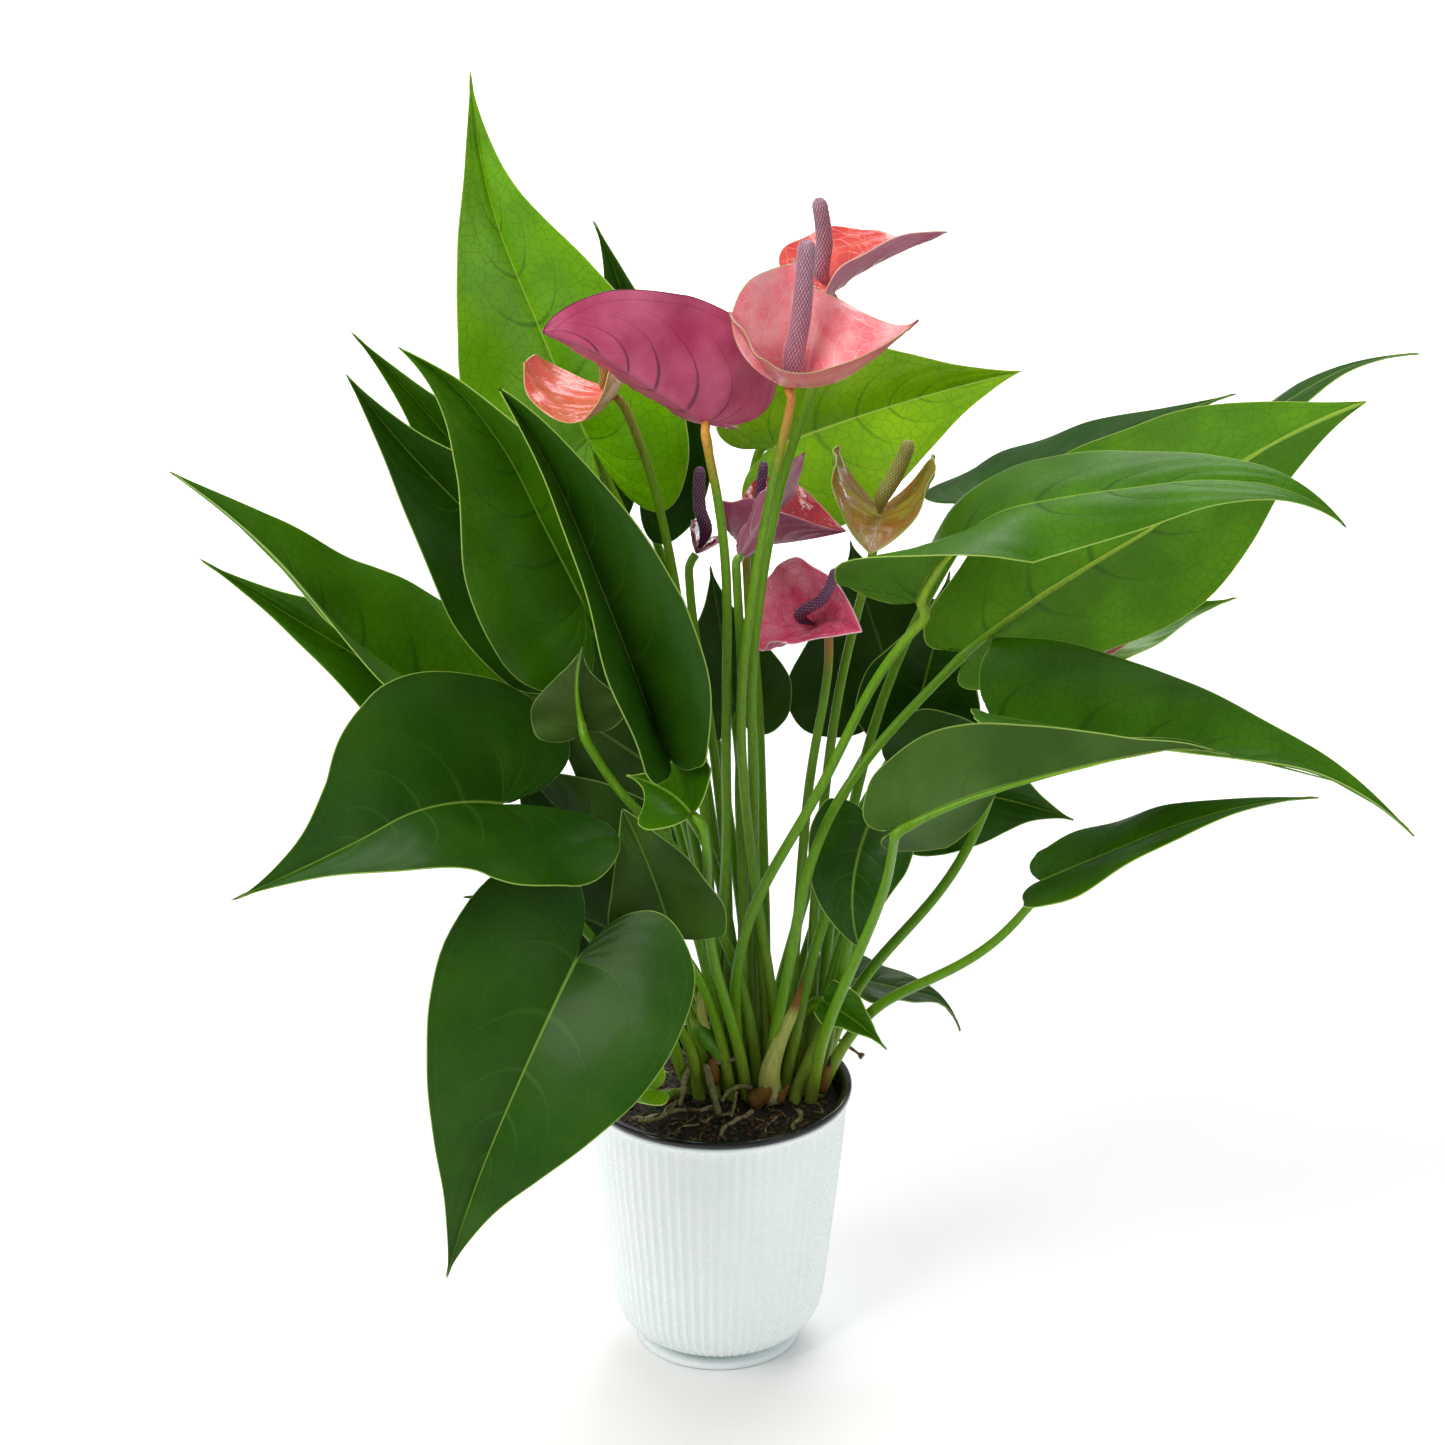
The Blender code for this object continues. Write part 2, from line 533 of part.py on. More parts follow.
def stem_route(blade, clear):
    """Points from the soil to just below the joint, close enough to be eased apart."""
    foot = foot_place(*blade.foot)
    face = blade.face()
    joint = blade.curve.at(0) - face * clear
    if blade in SPATHES:
        arrive = joint - face * (NECK * MM)
    else:
        along = blade.curve.along(0)
        hang = max(0.0, -along.z)
        arrive = joint - (face * NECK_SLANT * (1 + hang) + along * (1 - hang)) * (NECK * MM)
    rise = arrive - foot
    flat = Vector((rise.x, rise.y, 0))
    middle = [from_picture(*p) for p in blade.via]
    if not middle:
        middle = [foot + flat * out + Vector((0, 0, rise.z * up)) for out, up in FREE_BENDS]
    sunk = FOOT_DEPTH if blade.foot[1] else 0
    start = [foot - Vector((0, 0, sunk * MM)), foot + Vector((0, 0, FOOT_RISE * MM))]
    route = Smooth(start + middle + [arrive, joint])
    count = round(route.length / (STEM_SPACING * MM))
    return np.array([tuple(route.at(i / count)) for i in range(count + 1)])


def sheet_marks(blade):
    """Places on a blade with the direction of its face there, for stems to keep clear of."""
    points, triangles, _ = blade_sheet(blade)
    places, normals = [], []
    for a, b, c in triangles:
        normal = (points[b] - points[a]).cross(points[c] - points[a])
        if normal.length > 1e-9:
            places.append((points[a] + points[b] + points[c]) / 3)
            normals.append(normal.normalized())
    return np.array([tuple(p) for p in places]), np.array([tuple(n) for n in normals])


def ease_stems(routes, radii, sheets):
    """Bend the stems apart, and off the blades that they pass, with their ends kept."""
    soft = np.array(EASING_SPREAD) / sum(EASING_SPREAD)
    for _ in range(EASING_ROUNDS):
        cloud = np.concatenate(routes)
        owners = np.concatenate([np.full(len(route), i) for i, route in enumerate(routes)])
        thick = np.concatenate([np.full(len(route), radii[i]) for i, route in enumerate(routes)])
        eased = []
        for i, route in enumerate(routes):
            others = owners != i
            apart = route[:, None] - cloud[others][None]
            gaps = np.linalg.norm(apart, axis=2)
            lack = thick[others][None] + radii[i] + STEM_CLEARANCE * MM - gaps
            near = lack.argmax(axis=1)
            rows = np.arange(len(route))
            push = np.clip(lack[rows, near], 0, None)[:, None] * EASING_PUSH
            shift = apart[rows, near] / gaps[rows, near][:, None] * push
            places = np.concatenate([s[0] for k, s in enumerate(sheets) if k != i])
            normals = np.concatenate([s[1] for k, s in enumerate(sheets) if k != i])
            apart = route[:, None] - places[None]
            gaps = np.linalg.norm(apart, axis=2)
            near = gaps.argmin(axis=1)
            lack = np.clip(radii[i] + BLADE_CLEARANCE * MM - gaps[rows, near], 0, None)
            side = np.sign((apart[rows, near] * normals[near]).sum(axis=1))
            shift += normals[near] * (side * lack * EASING_PUSH)[:, None]
            shift = np.stack([np.convolve(shift[:, k], soft, "same") for k in range(3)], axis=1)
            steps = np.arange(len(route)) * STEM_SPACING
            free = np.minimum(steps - FOOT_HOLD, steps[::-1] - JOINT_HOLD) / HOLD_FADE
            hold = np.clip(free, 0, 1)[:, None]
            bent = route + shift * hold
            bent[1:-1] += (bent[:-2] + bent[2:] - 2 * bent[1:-1]) * STIFFNESS * hold[1:-1]
            eased.append(bent)
        routes = eased
    return routes


def stem_line(blade, route, radius, under):
    """Centres and radii of a stem with a thicker foot; a leaf's goes on under its midrib."""
    path = Smooth([Vector(p) for p in route])
    segments = max(4, round(path.length / (STEM_SEGMENT * MM)))
    bend = NECK_BEND * MM / path.length
    shares = [i / segments * (1 - bend) for i in range(segments + 1)] + [1 - bend / 2, 1.0]
    centres, radii = [], []
    for share in shares:
        centres.append(path.at(share))
        swell = FOOT_SWELL * max(0.0, 1 - share * path.length / (SWELL_LENGTH * MM)) if under else 0
        radii.append((radius[0] + (radius[1] - radius[0]) * share + swell) * MM)
    if not under:
        radii[-1] *= STALK_END
    for station, thin in under:
        slim = radius[1] * thin * MM
        ups = [blade.axes(half, station)[2] for half in (0, 1)]
        face = (ups[0] + ups[1]).normalized()
        centres.append(blade.curve.at(station) - face * (slim + MIDRIB_SINK * MM))
        radii.append(slim)
    return centres, radii


def foot_hole(name, centres, radii, material):
    """The hole that a stem's foot stands in, a gap wider all round."""
    down = (centres[0] - centres[1]).normalized() * (HOLE_GAP * MM)
    grown = [r + HOLE_GAP * MM for r in radii[:3]]
    return tube(name + "_hole", [centres[0] + down] + centres[1:3], grown, material)


def principled(name, colour, roughness, metallic=0.0):
    material = bpy.data.materials.new(name)
    material.use_nodes = True
    shader = material.node_tree.nodes["Principled BSDF"]
    shader.inputs["Base Color"].default_value = (*colour, 1)
    shader.inputs["Roughness"].default_value = roughness
    shader.inputs["Metallic"].default_value = metallic
    return material


def bridge(rings):
    """Triangles between neighbouring rings, whose counts are multiples of one another."""
    faces = []
    for one, two in zip(rings, rings[1:]):
        n, m = len(one), len(two)
        for k in range(max(n, m)):
            a, b = one[k * n // max(n, m)], one[(k + 1) * n // max(n, m) % n]
            c, d = two[k * m // max(n, m)], two[(k + 1) * m // max(n, m) % m]
            if a != b:
                faces.append((a, b, d))
            if c != d:
                faces.append((a, d, c))
    return faces


def turned(name, profile, sides, material, ribs=(), plain=99):
    """A closed turned body: profile of radius and height in mm, from the axis below, up the
    outside and down the inside; the rings numbered in ribs carry the fine upright ribs, and
    the rings from number plain on, which are out of sight, have half as many sides."""
    points, rings = [], []
    for number, (radius, height) in enumerate(profile):
        count = sides * 2 if number in ribs else sides // 2 if number >= plain else sides
        if radius == 0:
            count = 1
        rings.append(range(len(points), len(points) + count))
        for k in range(count):
            angle = math.tau * k / count
            reach = radius - (RIB_DEPTH * (k % 2) if number in ribs else 0)
            points.append(Vector((reach * math.cos(angle), reach * math.sin(angle), height)) * MM)
    return new_object(name, points, bridge(rings), material)


POT_SIDES = 40


def build_pots():
    """The glossy white cover pot, and the black nursery pot that hangs in it by its flange."""
    white = principled("white_plastic", (0.86, 0.90, 0.90), 0.3)
    black = principled("black_plastic", (0.012, 0.012, 0.014), 0.3)
    top = COVER_HEIGHT
    cover = [(0, 0), (FOOT_RADIUS, 0), (FOOT_RADIUS, 3), (29.5, 3.2), (33, 4.8), (41.5, 10.5), (48, 24),
             (58, top - 3.6), (58.6, top - 3), (59.4, top - 2.2), (59.3, top - 0.3),
             (57.6, top), (56.4, top - 4), (46.3, 24), (38.5, 11.5), (31, 7.4), (0, 7.2)]
    turned("cover_pot", cover, COVER_RIBS, white, ribs=range(4, 8), plain=12)
    rim = RIM_DIAMETER / 2
    seat = top + GAP
    inner = [(0, 14), (38, 14), (44.6, 26), (46.6, 33), (55.4, top - 1), (55.8, seat), (rim - 0.4, seat),
             (rim, seat + 0.5), (rim, seat + 2.3), (rim - 0.6, seat + 2.8), (rim - 3, seat + 2.8),
             (rim - 4.6, seat + 1), (54, top - 4), (44.8, 33), (38.5, 15.4), (0, 15.4)]
    turned("nursery_pot", inner, POT_SIDES, black)
    return inner


# The soil's surface from the middle out: radius in mm, points round it
SOIL_RINGS = ((14.0, 10), (28.0, 20), (41.0, 40), (53.0, 40))
SOIL_SIDE = ((44.0, 33.5), (38.0, 16.0))


def soil_height(x, y):
    """Height of the lumpy soil in mm above its level at the pot's edge."""
    reach = min(math.hypot(x, y) / 53.0, 1.0)
    lumps = math.sin(x * 0.37 + 1.3) * math.cos(y * 0.41 + 0.4) + 0.6 * math.sin(x * 0.9 - y * 0.7)
    return 2.4 * (1 - reach * reach) + 0.8 * lumps * (1 - 0.5 * reach)


# The aerial roots that creep over the soil: places in mm, seen from above
ROOTS = {
    "aerial_root_left": ((2, -10), (-8, -15), (-20, -17), (-33, -21), (-43, -19)),
    "aerial_root_front": ((16, -11), (13, -21), (4, -29), (1, -40)),
    "aerial_root_right": ((32, -10), (37, -18), (33, -28), (36, -35)),
}
ROOT_RADIUS = 1.3
ROOT_STEP = 8.0
ROOT_END = 3.2


def build_soil():
    """The potting mix, mounded and lumpy, filling the nursery pot from wall to wall."""
    dark = principled("potting_mix", (0.018, 0.011, 0.007), 0.95)
    points, rings = [Vector((0, 0, SOIL_LEVEL + soil_height(0, 0))) * MM], [[0]]
    for radius, count in SOIL_RINGS:
        rings.append(range(len(points), len(points) + count))
        for k in range(count):
            x, y = radius * math.cos(math.tau * k / count), radius * math.sin(math.tau * k / count)
            points.append(Vector((x, y, SOIL_LEVEL + soil_height(x, y))) * MM)
    for radius, height in SOIL_SIDE:
        rings.append(range(len(points), len(points) + POT_SIDES))
        for k in range(POT_SIDES):
            angle = math.tau * k / POT_SIDES
            points.append(Vector((radius * math.cos(angle), radius * math.sin(angle), height)) * MM)
    points.append(Vector((0, 0, SOIL_SIDE[-1][1])) * MM)
    rings.append([len(points) - 1])
    return new_object("soil", points, bridge(rings), dark)


def root_tube(name, places, material, gap=0.0):
    """A root half sunk in the soil, its two ends turning down into it."""
    path = Smooth([Vector((x, y, 0)) * MM for x, y in places])
    count = round(path.length / (ROOT_STEP * MM))
    centres = []
    for i in range(count + 1):
        place = path.at(i / count)
        sunk = ROOT_END if i in (0, count) else 0.1
        height = SOIL_LEVEL + soil_height(place.x / MM, place.y / MM) - sunk
        centres.append(Vector((place.x, place.y, height * MM)))
    centres[0] += (centres[0] - centres[1]).normalized() * (gap * MM)
    centres[-1] += (centres[-1] - centres[-2]).normalized() * (gap * MM)
    radii = [(ROOT_RADIUS * (1.0 - 0.3 * i / count) + gap) * MM for i in range(count + 1)]
    return tube(name, centres, radii, material, sides=6)


# The rhizome's line: column, height in mm over the soil, thickness against its middle
RHIZOME = ((-1.7, -1.4, 0.75), (-0.6, 0.6, 0.95), (1.4, 1.8, 1.1), (3.4, 1.4, 1.0), (5.4, 1.8, 1.05),
           (6.7, 0.2, 0.9), (7.1, -1.4, 0.75))


def rhizome(name, material, gap=0.0):
    centres = [foot_place(column, 0) + Vector((0, 0, height * MM)) for column, height, _ in RHIZOME]
    centres[0] += (centres[0] - centres[1]).normalized() * (gap * MM)
    centres[-1] += (centres[-1] - centres[-2]).normalized() * (gap * MM)
    radii = [(RHIZOME_RADIUS * share + gap) * MM for _, _, share in RHIZOME]
    return tube(name, centres, radii, material, sides=7)


def build_blooms_and_leaves(routes, palette):
    """Every leaf with its petiole, every spathe with its spadix; the stalks are handed back."""
    stalks, cutters = [], []
    for blade, route in zip(LEAVES + SPATHES, routes):
        is_leaf = blade in LEAVES
        radius = PETIOLE_RADIUS if is_leaf else STALK_RADIUS
        under = UNDER_MIDRIB if is_leaf else ()
        centres, radii = stem_line(blade, route, radius, under)
        stem = tube(blade.name + "_stem", centres, radii, palette["leaf"])
        if is_leaf:
            cutters.append(foot_hole(blade.name, centres, radii, palette["leaf"]))
            combine(blade_solid(blade, palette["leaf"]), [stem])
        else:
            blade_solid(blade, palette["spathe"])
            stalks.append(stem)
            build_spadix(blade, palette["spadix"])
    return stalks, cutters


def build_spadix(blade, material):
    if blade.name not in SPADICES:
        return
    tip, thickness, seat = SPADICES[blade.name]
    face = blade.face()
    foot = blade.curve.at(0) + (face * seat + blade.curve.along(0) * SPADIX_SEAT) * MM
    end = from_picture(*tip) if tip else foot + face * SPADIX_LENGTH * MM
    path = Smooth([foot, foot + face * 5 * MM, foot.lerp(end, 0.5), end])
    length = path.length / MM
    start, stop = SPADIX_FOOT[-1][0], length - SPADIX_BLUNT
    count = max(3, round((stop - start) / SPADIX_STEP))
    shape = list(SPADIX_FOOT)
    for k in range(1, count + 1):
        shape.append((start + (stop - start) * k / count, 1 - SPADIX_TAPER * k / count))
    shape += [(length - back, share) for back, share in SPADIX_TIP]
    tube(blade.name.replace("spathe", "spadix"), [path.at(height / length) for height, _ in shape],
         [share * thickness / 2 * MM for _, share in shape], material, SPADIX_SIDES, FLORET_RELIEF)


def build():
    for thing in list(bpy.data.objects):
        bpy.data.objects.remove(thing)
    palette = {
        "leaf": principled("leaf_green", (0.045, 0.15, 0.02), 0.35),
        "stalk": principled("stalk_green", (0.16, 0.32, 0.03), 0.4),
        "spathe": principled("spathe_pink", (0.62, 0.12, 0.16), 0.3),
        "spadix": principled("spadix_mauve", (0.28, 0.12, 0.18), 0.6),
        "root": principled("aerial_root", (0.35, 0.27, 0.16), 0.7),
    }
    blades = LEAVES + SPATHES
    beyond = {True: PETIOLE_RADIUS[1] + MIDRIB_SINK, False: BLADE_THICKNESS + 1.5 * GAP}
    radii = [(PETIOLE_RADIUS if b in LEAVES else STALK_RADIUS)[0] * MM for b in blades]
    routes = [stem_route(b, beyond[b in LEAVES] * MM) for b in blades]
    routes = ease_stems(routes, radii, [sheet_marks(b) for b in blades])
    stalks, cutters = build_blooms_and_leaves(routes, palette)
    combine(rhizome("crown", palette["stalk"]), stalks)
    cutters.append(rhizome("crown_hole", palette["stalk"], HOLE_GAP))
    for name, places in ROOTS.items():
        root_tube(name, places, palette["root"])
        cutters.append(root_tube(name + "_hole", places, palette["root"], HOLE_GAP))
    build_pots()
    combine(build_soil(), cutters, "DIFFERENCE")


build()
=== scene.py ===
"""Looks of the potted flamingo flower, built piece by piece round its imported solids.

Lengths are in metres, in the solids' own frame: the origin is at the centre of the pot's flat
underside, +Z is up, and the photograph looks along +Y. Values in mm are multiplied by MM.
"""

import math
import random
from dataclasses import dataclass
from functools import partial

import bpy
import numpy as np
from mathutils import Matrix, Vector, noise


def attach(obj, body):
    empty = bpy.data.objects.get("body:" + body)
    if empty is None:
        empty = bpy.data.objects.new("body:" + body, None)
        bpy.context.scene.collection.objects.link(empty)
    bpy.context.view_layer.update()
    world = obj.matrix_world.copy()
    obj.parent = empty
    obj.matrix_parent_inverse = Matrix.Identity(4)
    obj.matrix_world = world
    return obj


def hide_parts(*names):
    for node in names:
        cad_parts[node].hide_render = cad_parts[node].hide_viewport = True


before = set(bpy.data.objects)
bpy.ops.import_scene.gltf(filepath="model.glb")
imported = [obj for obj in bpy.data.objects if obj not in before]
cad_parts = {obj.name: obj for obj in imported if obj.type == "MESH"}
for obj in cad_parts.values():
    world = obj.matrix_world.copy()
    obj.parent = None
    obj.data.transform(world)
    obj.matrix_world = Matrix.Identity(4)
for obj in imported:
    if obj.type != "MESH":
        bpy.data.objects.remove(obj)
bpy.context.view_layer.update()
MM = 0.001


# Cover pot: one thin-walled pot of white polypropylene, injection moulded, with 72 fine upright
# ribs round its wall, a plain lip, and a narrow foot that it stands on. It carries the rest.
COVER_RIBS, RIB_DEPTH, RIB_POINTS = 72, 0.9, 8
# Radius and height in mm, and share of the ribs' depth, from the axis below, up and down inside
COVER_PROFILE = (
    (0, 0), (20, 0), (36.2, 0), (37, 0.5), (37, 2.5), (36.3, 3.1), (30.2, 3.2), (29.5, 3.5), (31, 4.1),
    (33, 5.0, 0.2), (37.3, 7.3, 0.8), (41.5, 10.5, 1), (44.4, 14.2, 1), (46.7, 19, 1), (48, 24, 1),
    (50.7, 48, 1), (53.4, 72, 1), (56.1, 97, 1), (57.6, 117, 1), (58, 120.6, 1), (58.4, 121.6, 0.3),
    (58.7, 122.3), (59.3, 122.9), (59.5, 123.8), (59.3, 124.6), (58.8, 125), (57.9, 125), (57.2, 124.5),
    (56.4, 121), (46.3, 24), (38.5, 11.5), (31, 7.4), (0, 7.2),
)


def linear(colour):
    """A sRGB hex colour as linear red, green, blue and alpha."""
    shares = [int(colour[i:i + 2], 16) / 255 for i in (1, 3, 5)]
    return [c / 12.92 if c <= 0.04045 else ((c + 0.055) / 1.055) ** 2.4 for c in shares] + [1.0]


def fill(node, inputs):
    """Give each input of a node its value or hex colour, or link it to the socket it takes."""
    for key, value in inputs.items():
        if isinstance(value, bpy.types.NodeSocket):
            node.id_data.links.new(value, node.inputs[key])
        else:
            node.inputs[key].default_value = linear(value) if isinstance(value, str) else value


def add(tree, kind, inputs, **settings):
    """A shader node with its inputs and settings; hands back its outputs."""
    made = tree.nodes.new("ShaderNode" + kind)
    for setting, value in settings.items():
        setattr(made, setting, value)
    fill(made, inputs)
    return made.outputs


def new_material(name, roughness, **plain):
    """A Principled material with constants on its sockets, its shader, and add for its tree."""
    material = bpy.data.materials.new(name)
    material.use_nodes = True
    shader = material.node_tree.nodes["Principled BSDF"]
    fill(shader, {"Roughness": roughness} | {key.replace("_", " "): value for key, value in plain.items()})
    return material, shader, partial(add, material.node_tree)


def add_piece(name, slot, nodes, points, faces, materials, kinds=None, marks=None):
    """A smooth piece that rides on the plant's one body and hides the solids it replaces, when it has a
    slot.

    kinds: the material of each face; marks: vectors for all points, by the attribute's name
    """
    mesh = bpy.data.meshes.new(name)
    mesh.from_pydata([tuple(p) for p in points], [], faces)
    for material in materials:
        mesh.materials.append(material)
    if kinds:
        mesh.polygons.foreach_set("material_index", kinds)
    for mark, values in (marks or {}).items():
        layer = mesh.attributes.new(mark, "FLOAT_VECTOR", "POINT")
        layer.data.foreach_set("vector", [c for value in values for c in value])
    mesh.shade_smooth()
    piece = bpy.data.objects.new(name, mesh)
    bpy.context.collection.objects.link(piece)
    if slot:
        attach(piece, "root")
        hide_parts(*nodes)
    return piece


def bands(rings, closed=True):
    """Faces between each ring or row of point numbers and the next."""
    faces = []
    for one, two in zip(rings, rings[1:]):
        for k in range(max(len(one), len(two)) - (0 if closed else 1)):
            corners = one[k % len(one)], one[(k + 1) % len(one)], two[(k + 1) % len(two)], two[k % len(two)]
            if len(set(corners)) > 2:
                faces.append(tuple(dict.fromkeys(corners)))
    return faces


def turned(profile, count):
    """Points and faces of a body turned round the axis, with the ribs where the profile has them."""
    points, rings = [], []
    for radius, height, *ribbed in profile:
        rings.append(range(len(points), len(points) + (count if radius else 1)))
        for k in range(len(rings[-1])):
            turn = math.tau * k / count
            rib = (0.5 + 0.5 * math.cos(turn * COVER_RIBS)) ** 0.7
            reach = radius - RIB_DEPTH * sum(ribbed) * rib
            points.append(Vector((reach * math.cos(turn), reach * math.sin(turn), height)) * MM)
    return points, bands(rings)


# Polypropylene, injection moulded and polished: a bright skin over faint flow marks, so that
# its highlights are soft at their edges, and the ribs show as fine grey lines
white_plastic, shader, node = new_material("polypropylene_moulded_white", 0.26, IOR=1.49, Coat_Weight=0.25,
                                           Coat_Roughness=0.12)
place = node("TexCoord", {})["Object"]
flow = node("TexNoise", {"Vector": place, "Scale": 1 / (14 * MM), "Detail": 3.0})["Fac"]
grain = node("TexNoise", {"Vector": place, "Scale": 1 / (0.9 * MM), "Detail": 2.0})["Fac"]
fill(shader, {
    "Base Color": node("Mix", {0: flow, 6: "#eef9f9", 7: "#f7ffff"}, data_type="RGBA")[2],
    "Roughness": node("MapRange", {0: grain, 3: 0.22, 4: 0.32})[0],
    "Normal": node("Bump", {"Strength": 0.06, "Distance": 0.1 * MM, "Height": grain})["Normal"],
})
pot = turned(COVER_PROFILE, COVER_RIBS * RIB_POINTS)
add_piece("cover_pot_ribbed", "white_plastic", ["cover_pot"], *pot, [white_plastic])


# Nursery pot: a thin black grower's pot of recycled polypropylene, blown into a mould. It hangs
# in the cover pot by the flat flange round its rim, whose edge is rounded.
NURSERY_SIDES = 144
NURSERY_PROFILE = (
    (0, 14), (37, 14), (38, 14.4), (44.6, 26), (46.6, 33), (55.3, 124), (55.8, 125.3), (59.4, 125.3),
    (59.9, 125.7), (60, 126.5), (59.9, 127.5), (59.3, 128.05), (58.4, 128.1), (57, 128), (55.8, 127),
    (55.2, 125.5), (54, 121), (44.8, 33), (38.5, 15.4), (0, 15.4),
)

# Black polypropylene with carbon black: glossy, with a little grey dust from the potting bench
black_plastic, shader, node = new_material("polypropylene_blown_black", 0.2, IOR=1.49)
place = node("TexCoord", {})["Object"]
dust = node("TexNoise", {"Vector": place, "Scale": 1 / (2.2 * MM), "Detail": 5.0})["Fac"]
patch = node("MapRange", {0: dust, 1: 0.56, 2: 0.72, 4: 0.5})[0]
fill(shader, {
    "Base Color": node("Mix", {0: patch, 6: "#0c0d0f", 7: "#2f2c29"}, data_type="RGBA")[2],
    "Roughness": node("MapRange", {0: patch, 3: 0.16, 4: 0.6})[0],
})
pot = turned(NURSERY_PROFILE, NURSERY_SIDES)
add_piece("nursery_pot_black", "black_plastic", ["nursery_pot"], *pot, [black_plastic])


# Potting mix: moist peat and composted bark, mounded a little and lumpy, filling the nursery pot.
# Bark chips and shreds of root lie loose on it, and moss has begun to grow between them.
SOIL_LEVEL, SOIL_RADIUS = 119.0, 53.6
MOUND, MOUND_RADIUS, LUMPS, CRUMBS, SCRAP_SEAT = 2.4, 53.0, 0.8, 1.1, 0.5
SOIL_RINGS, SOIL_SIDES, SOIL_SKIRT = 49, 240, 6


def soil_height(x, y):
    """Height in mm of the lumpy soil over the pot's foot, as in its solid."""
    reach = min(math.hypot(x, y) / MOUND_RADIUS, 1.0)
    lumps = math.sin(x * 0.37 + 1.3) * math.cos(y * 0.41 + 0.4) + 0.6 * math.sin(x * 0.9 - y * 0.7)
    return SOIL_LEVEL + MOUND * (1 - reach * reach) + LUMPS * lumps * (1 - 0.5 * reach)


def speckled(name, dark, light, size, roughness, bumps):
    """A matte material that varies between two colours in grains of a size in mm."""
    material, shader, node = new_material(name, roughness)
    place = node("TexCoord", {})["Object"]
    grain = {"Vector": place, "Scale": 1 / (size * MM), "Detail": 6.0, "Roughness": 0.65}
    grains = node("TexNoise", grain)["Fac"]
    share = node("MapRange", {0: grains, 1: 0.38, 2: 0.68})[0]
    fill(shader, {
        "Base Color": node("Mix", {0: share, 6: dark, 7: light}, data_type="RGBA")[2],
        "Normal": node("Bump", {"Strength": bumps, "Distance": 0.6 * MM, "Height": grains})["Normal"],
    })
    return material


profile = [(SOIL_RADIUS, SOIL_LEVEL - SOIL_SKIRT)]
profile += [(SOIL_RADIUS * i / SOIL_RINGS, 0) for i in range(SOIL_RINGS, -1, -1)]
points, faces = turned(profile, SOIL_SIDES)
for place in points[SOIL_SIDES:]:
    x, y = place.x / MM, place.y / MM
    crumbs = noise.noise(Vector((x / 2.6, y / 2.6, 0))) + 0.6 * noise.noise(Vector((x / 1.1, y / 1.1, 9)))
    place.z = (soil_height(x, y) + CRUMBS * crumbs) * MM
# Peat, nearly black when wet, with brown fibres
peat = speckled("peat_moist", "#0d0907", "#2e2118", 1.6, 0.85, 0.9)
# Each face starts at its inner corner, from which it is split in two
faces = [face[-1:] + face[:-1] for face in faces]
add_piece("potting_mix", "potting_mix", ["soil"], points, faces, [peat])

# Loose scraps: number, length, width, thickness in mm, seed and material. The bark is warmer
# than the peat and catches the light, the moss is young and fresh, the shreds are dry.
SCRAPS = {
    "bark_chips": (330, 6.0, 3.0, 1.2, 3, speckled("bark_composted", "#1c120c", "#6b4a2e", 2.4, 0.7, 0.7)),
    "root_shreds": (150, 7.0, 0.8, 0.6, 5, speckled("root_shred_dry", "#5a4528", "#a08a58", 1.0, 0.75, 0.3)),
    "moss_tufts": (420, 2.2, 0.9, 0.8, 11, speckled("moss_young", "#1e2c10", "#5d7a2c", 1.2, 0.8, 0.4)),
}
for name, (number, length, width, thickness, seed, material) in SCRAPS.items():
    draw = random.Random(seed)
    points, faces = [], []
    for _ in range(number):
        size = draw.uniform(0.35, 1.0)
        half = Vector((length * size, width * draw.uniform(0.5, 1.0), thickness * size)) * (MM / 2)
        reach = (SOIL_RADIUS - length / 2 - 1) * math.sqrt(draw.random())
        turn = draw.uniform(0, math.tau)
        x, y = reach * math.cos(turn), reach * math.sin(turn)
        lie = Matrix.Rotation(draw.uniform(0, math.tau), 3, "Z")
        lie = lie @ Matrix.Rotation(draw.gauss(0, 0.28), 3, "Y")
        lie = lie @ Matrix.Rotation(draw.gauss(0, 0.4), 3, "X")
        seat = Vector((x, y, soil_height(x, y) + SCRAP_SEAT)) * MM
        curl = draw.uniform(-0.25, 0.25)
        rings = [range(i, i + 4) for i in range(len(points), len(points) + 20, 4)]
        for along in (-1, -0.55, 0, 0.5, 1):
            slim = (1 - 0.55 * along * along) * draw.uniform(0.75, 1.0)
            lift = curl * along * along * half.x
            for side, up in ((-1, -0.6), (1, -0.8), (0.8, 1), (-0.7, 0.8)):
                corner = Vector((along * half.x, side * half.y * slim, up * half.z + lift))
                points.append(seat + lie @ corner)
        faces += bands(rings) + [tuple(rings[0][::-1]), tuple(rings[-1])]
    add_piece(name, "potting_mix", [], points, faces, [material]).data.shade_flat()


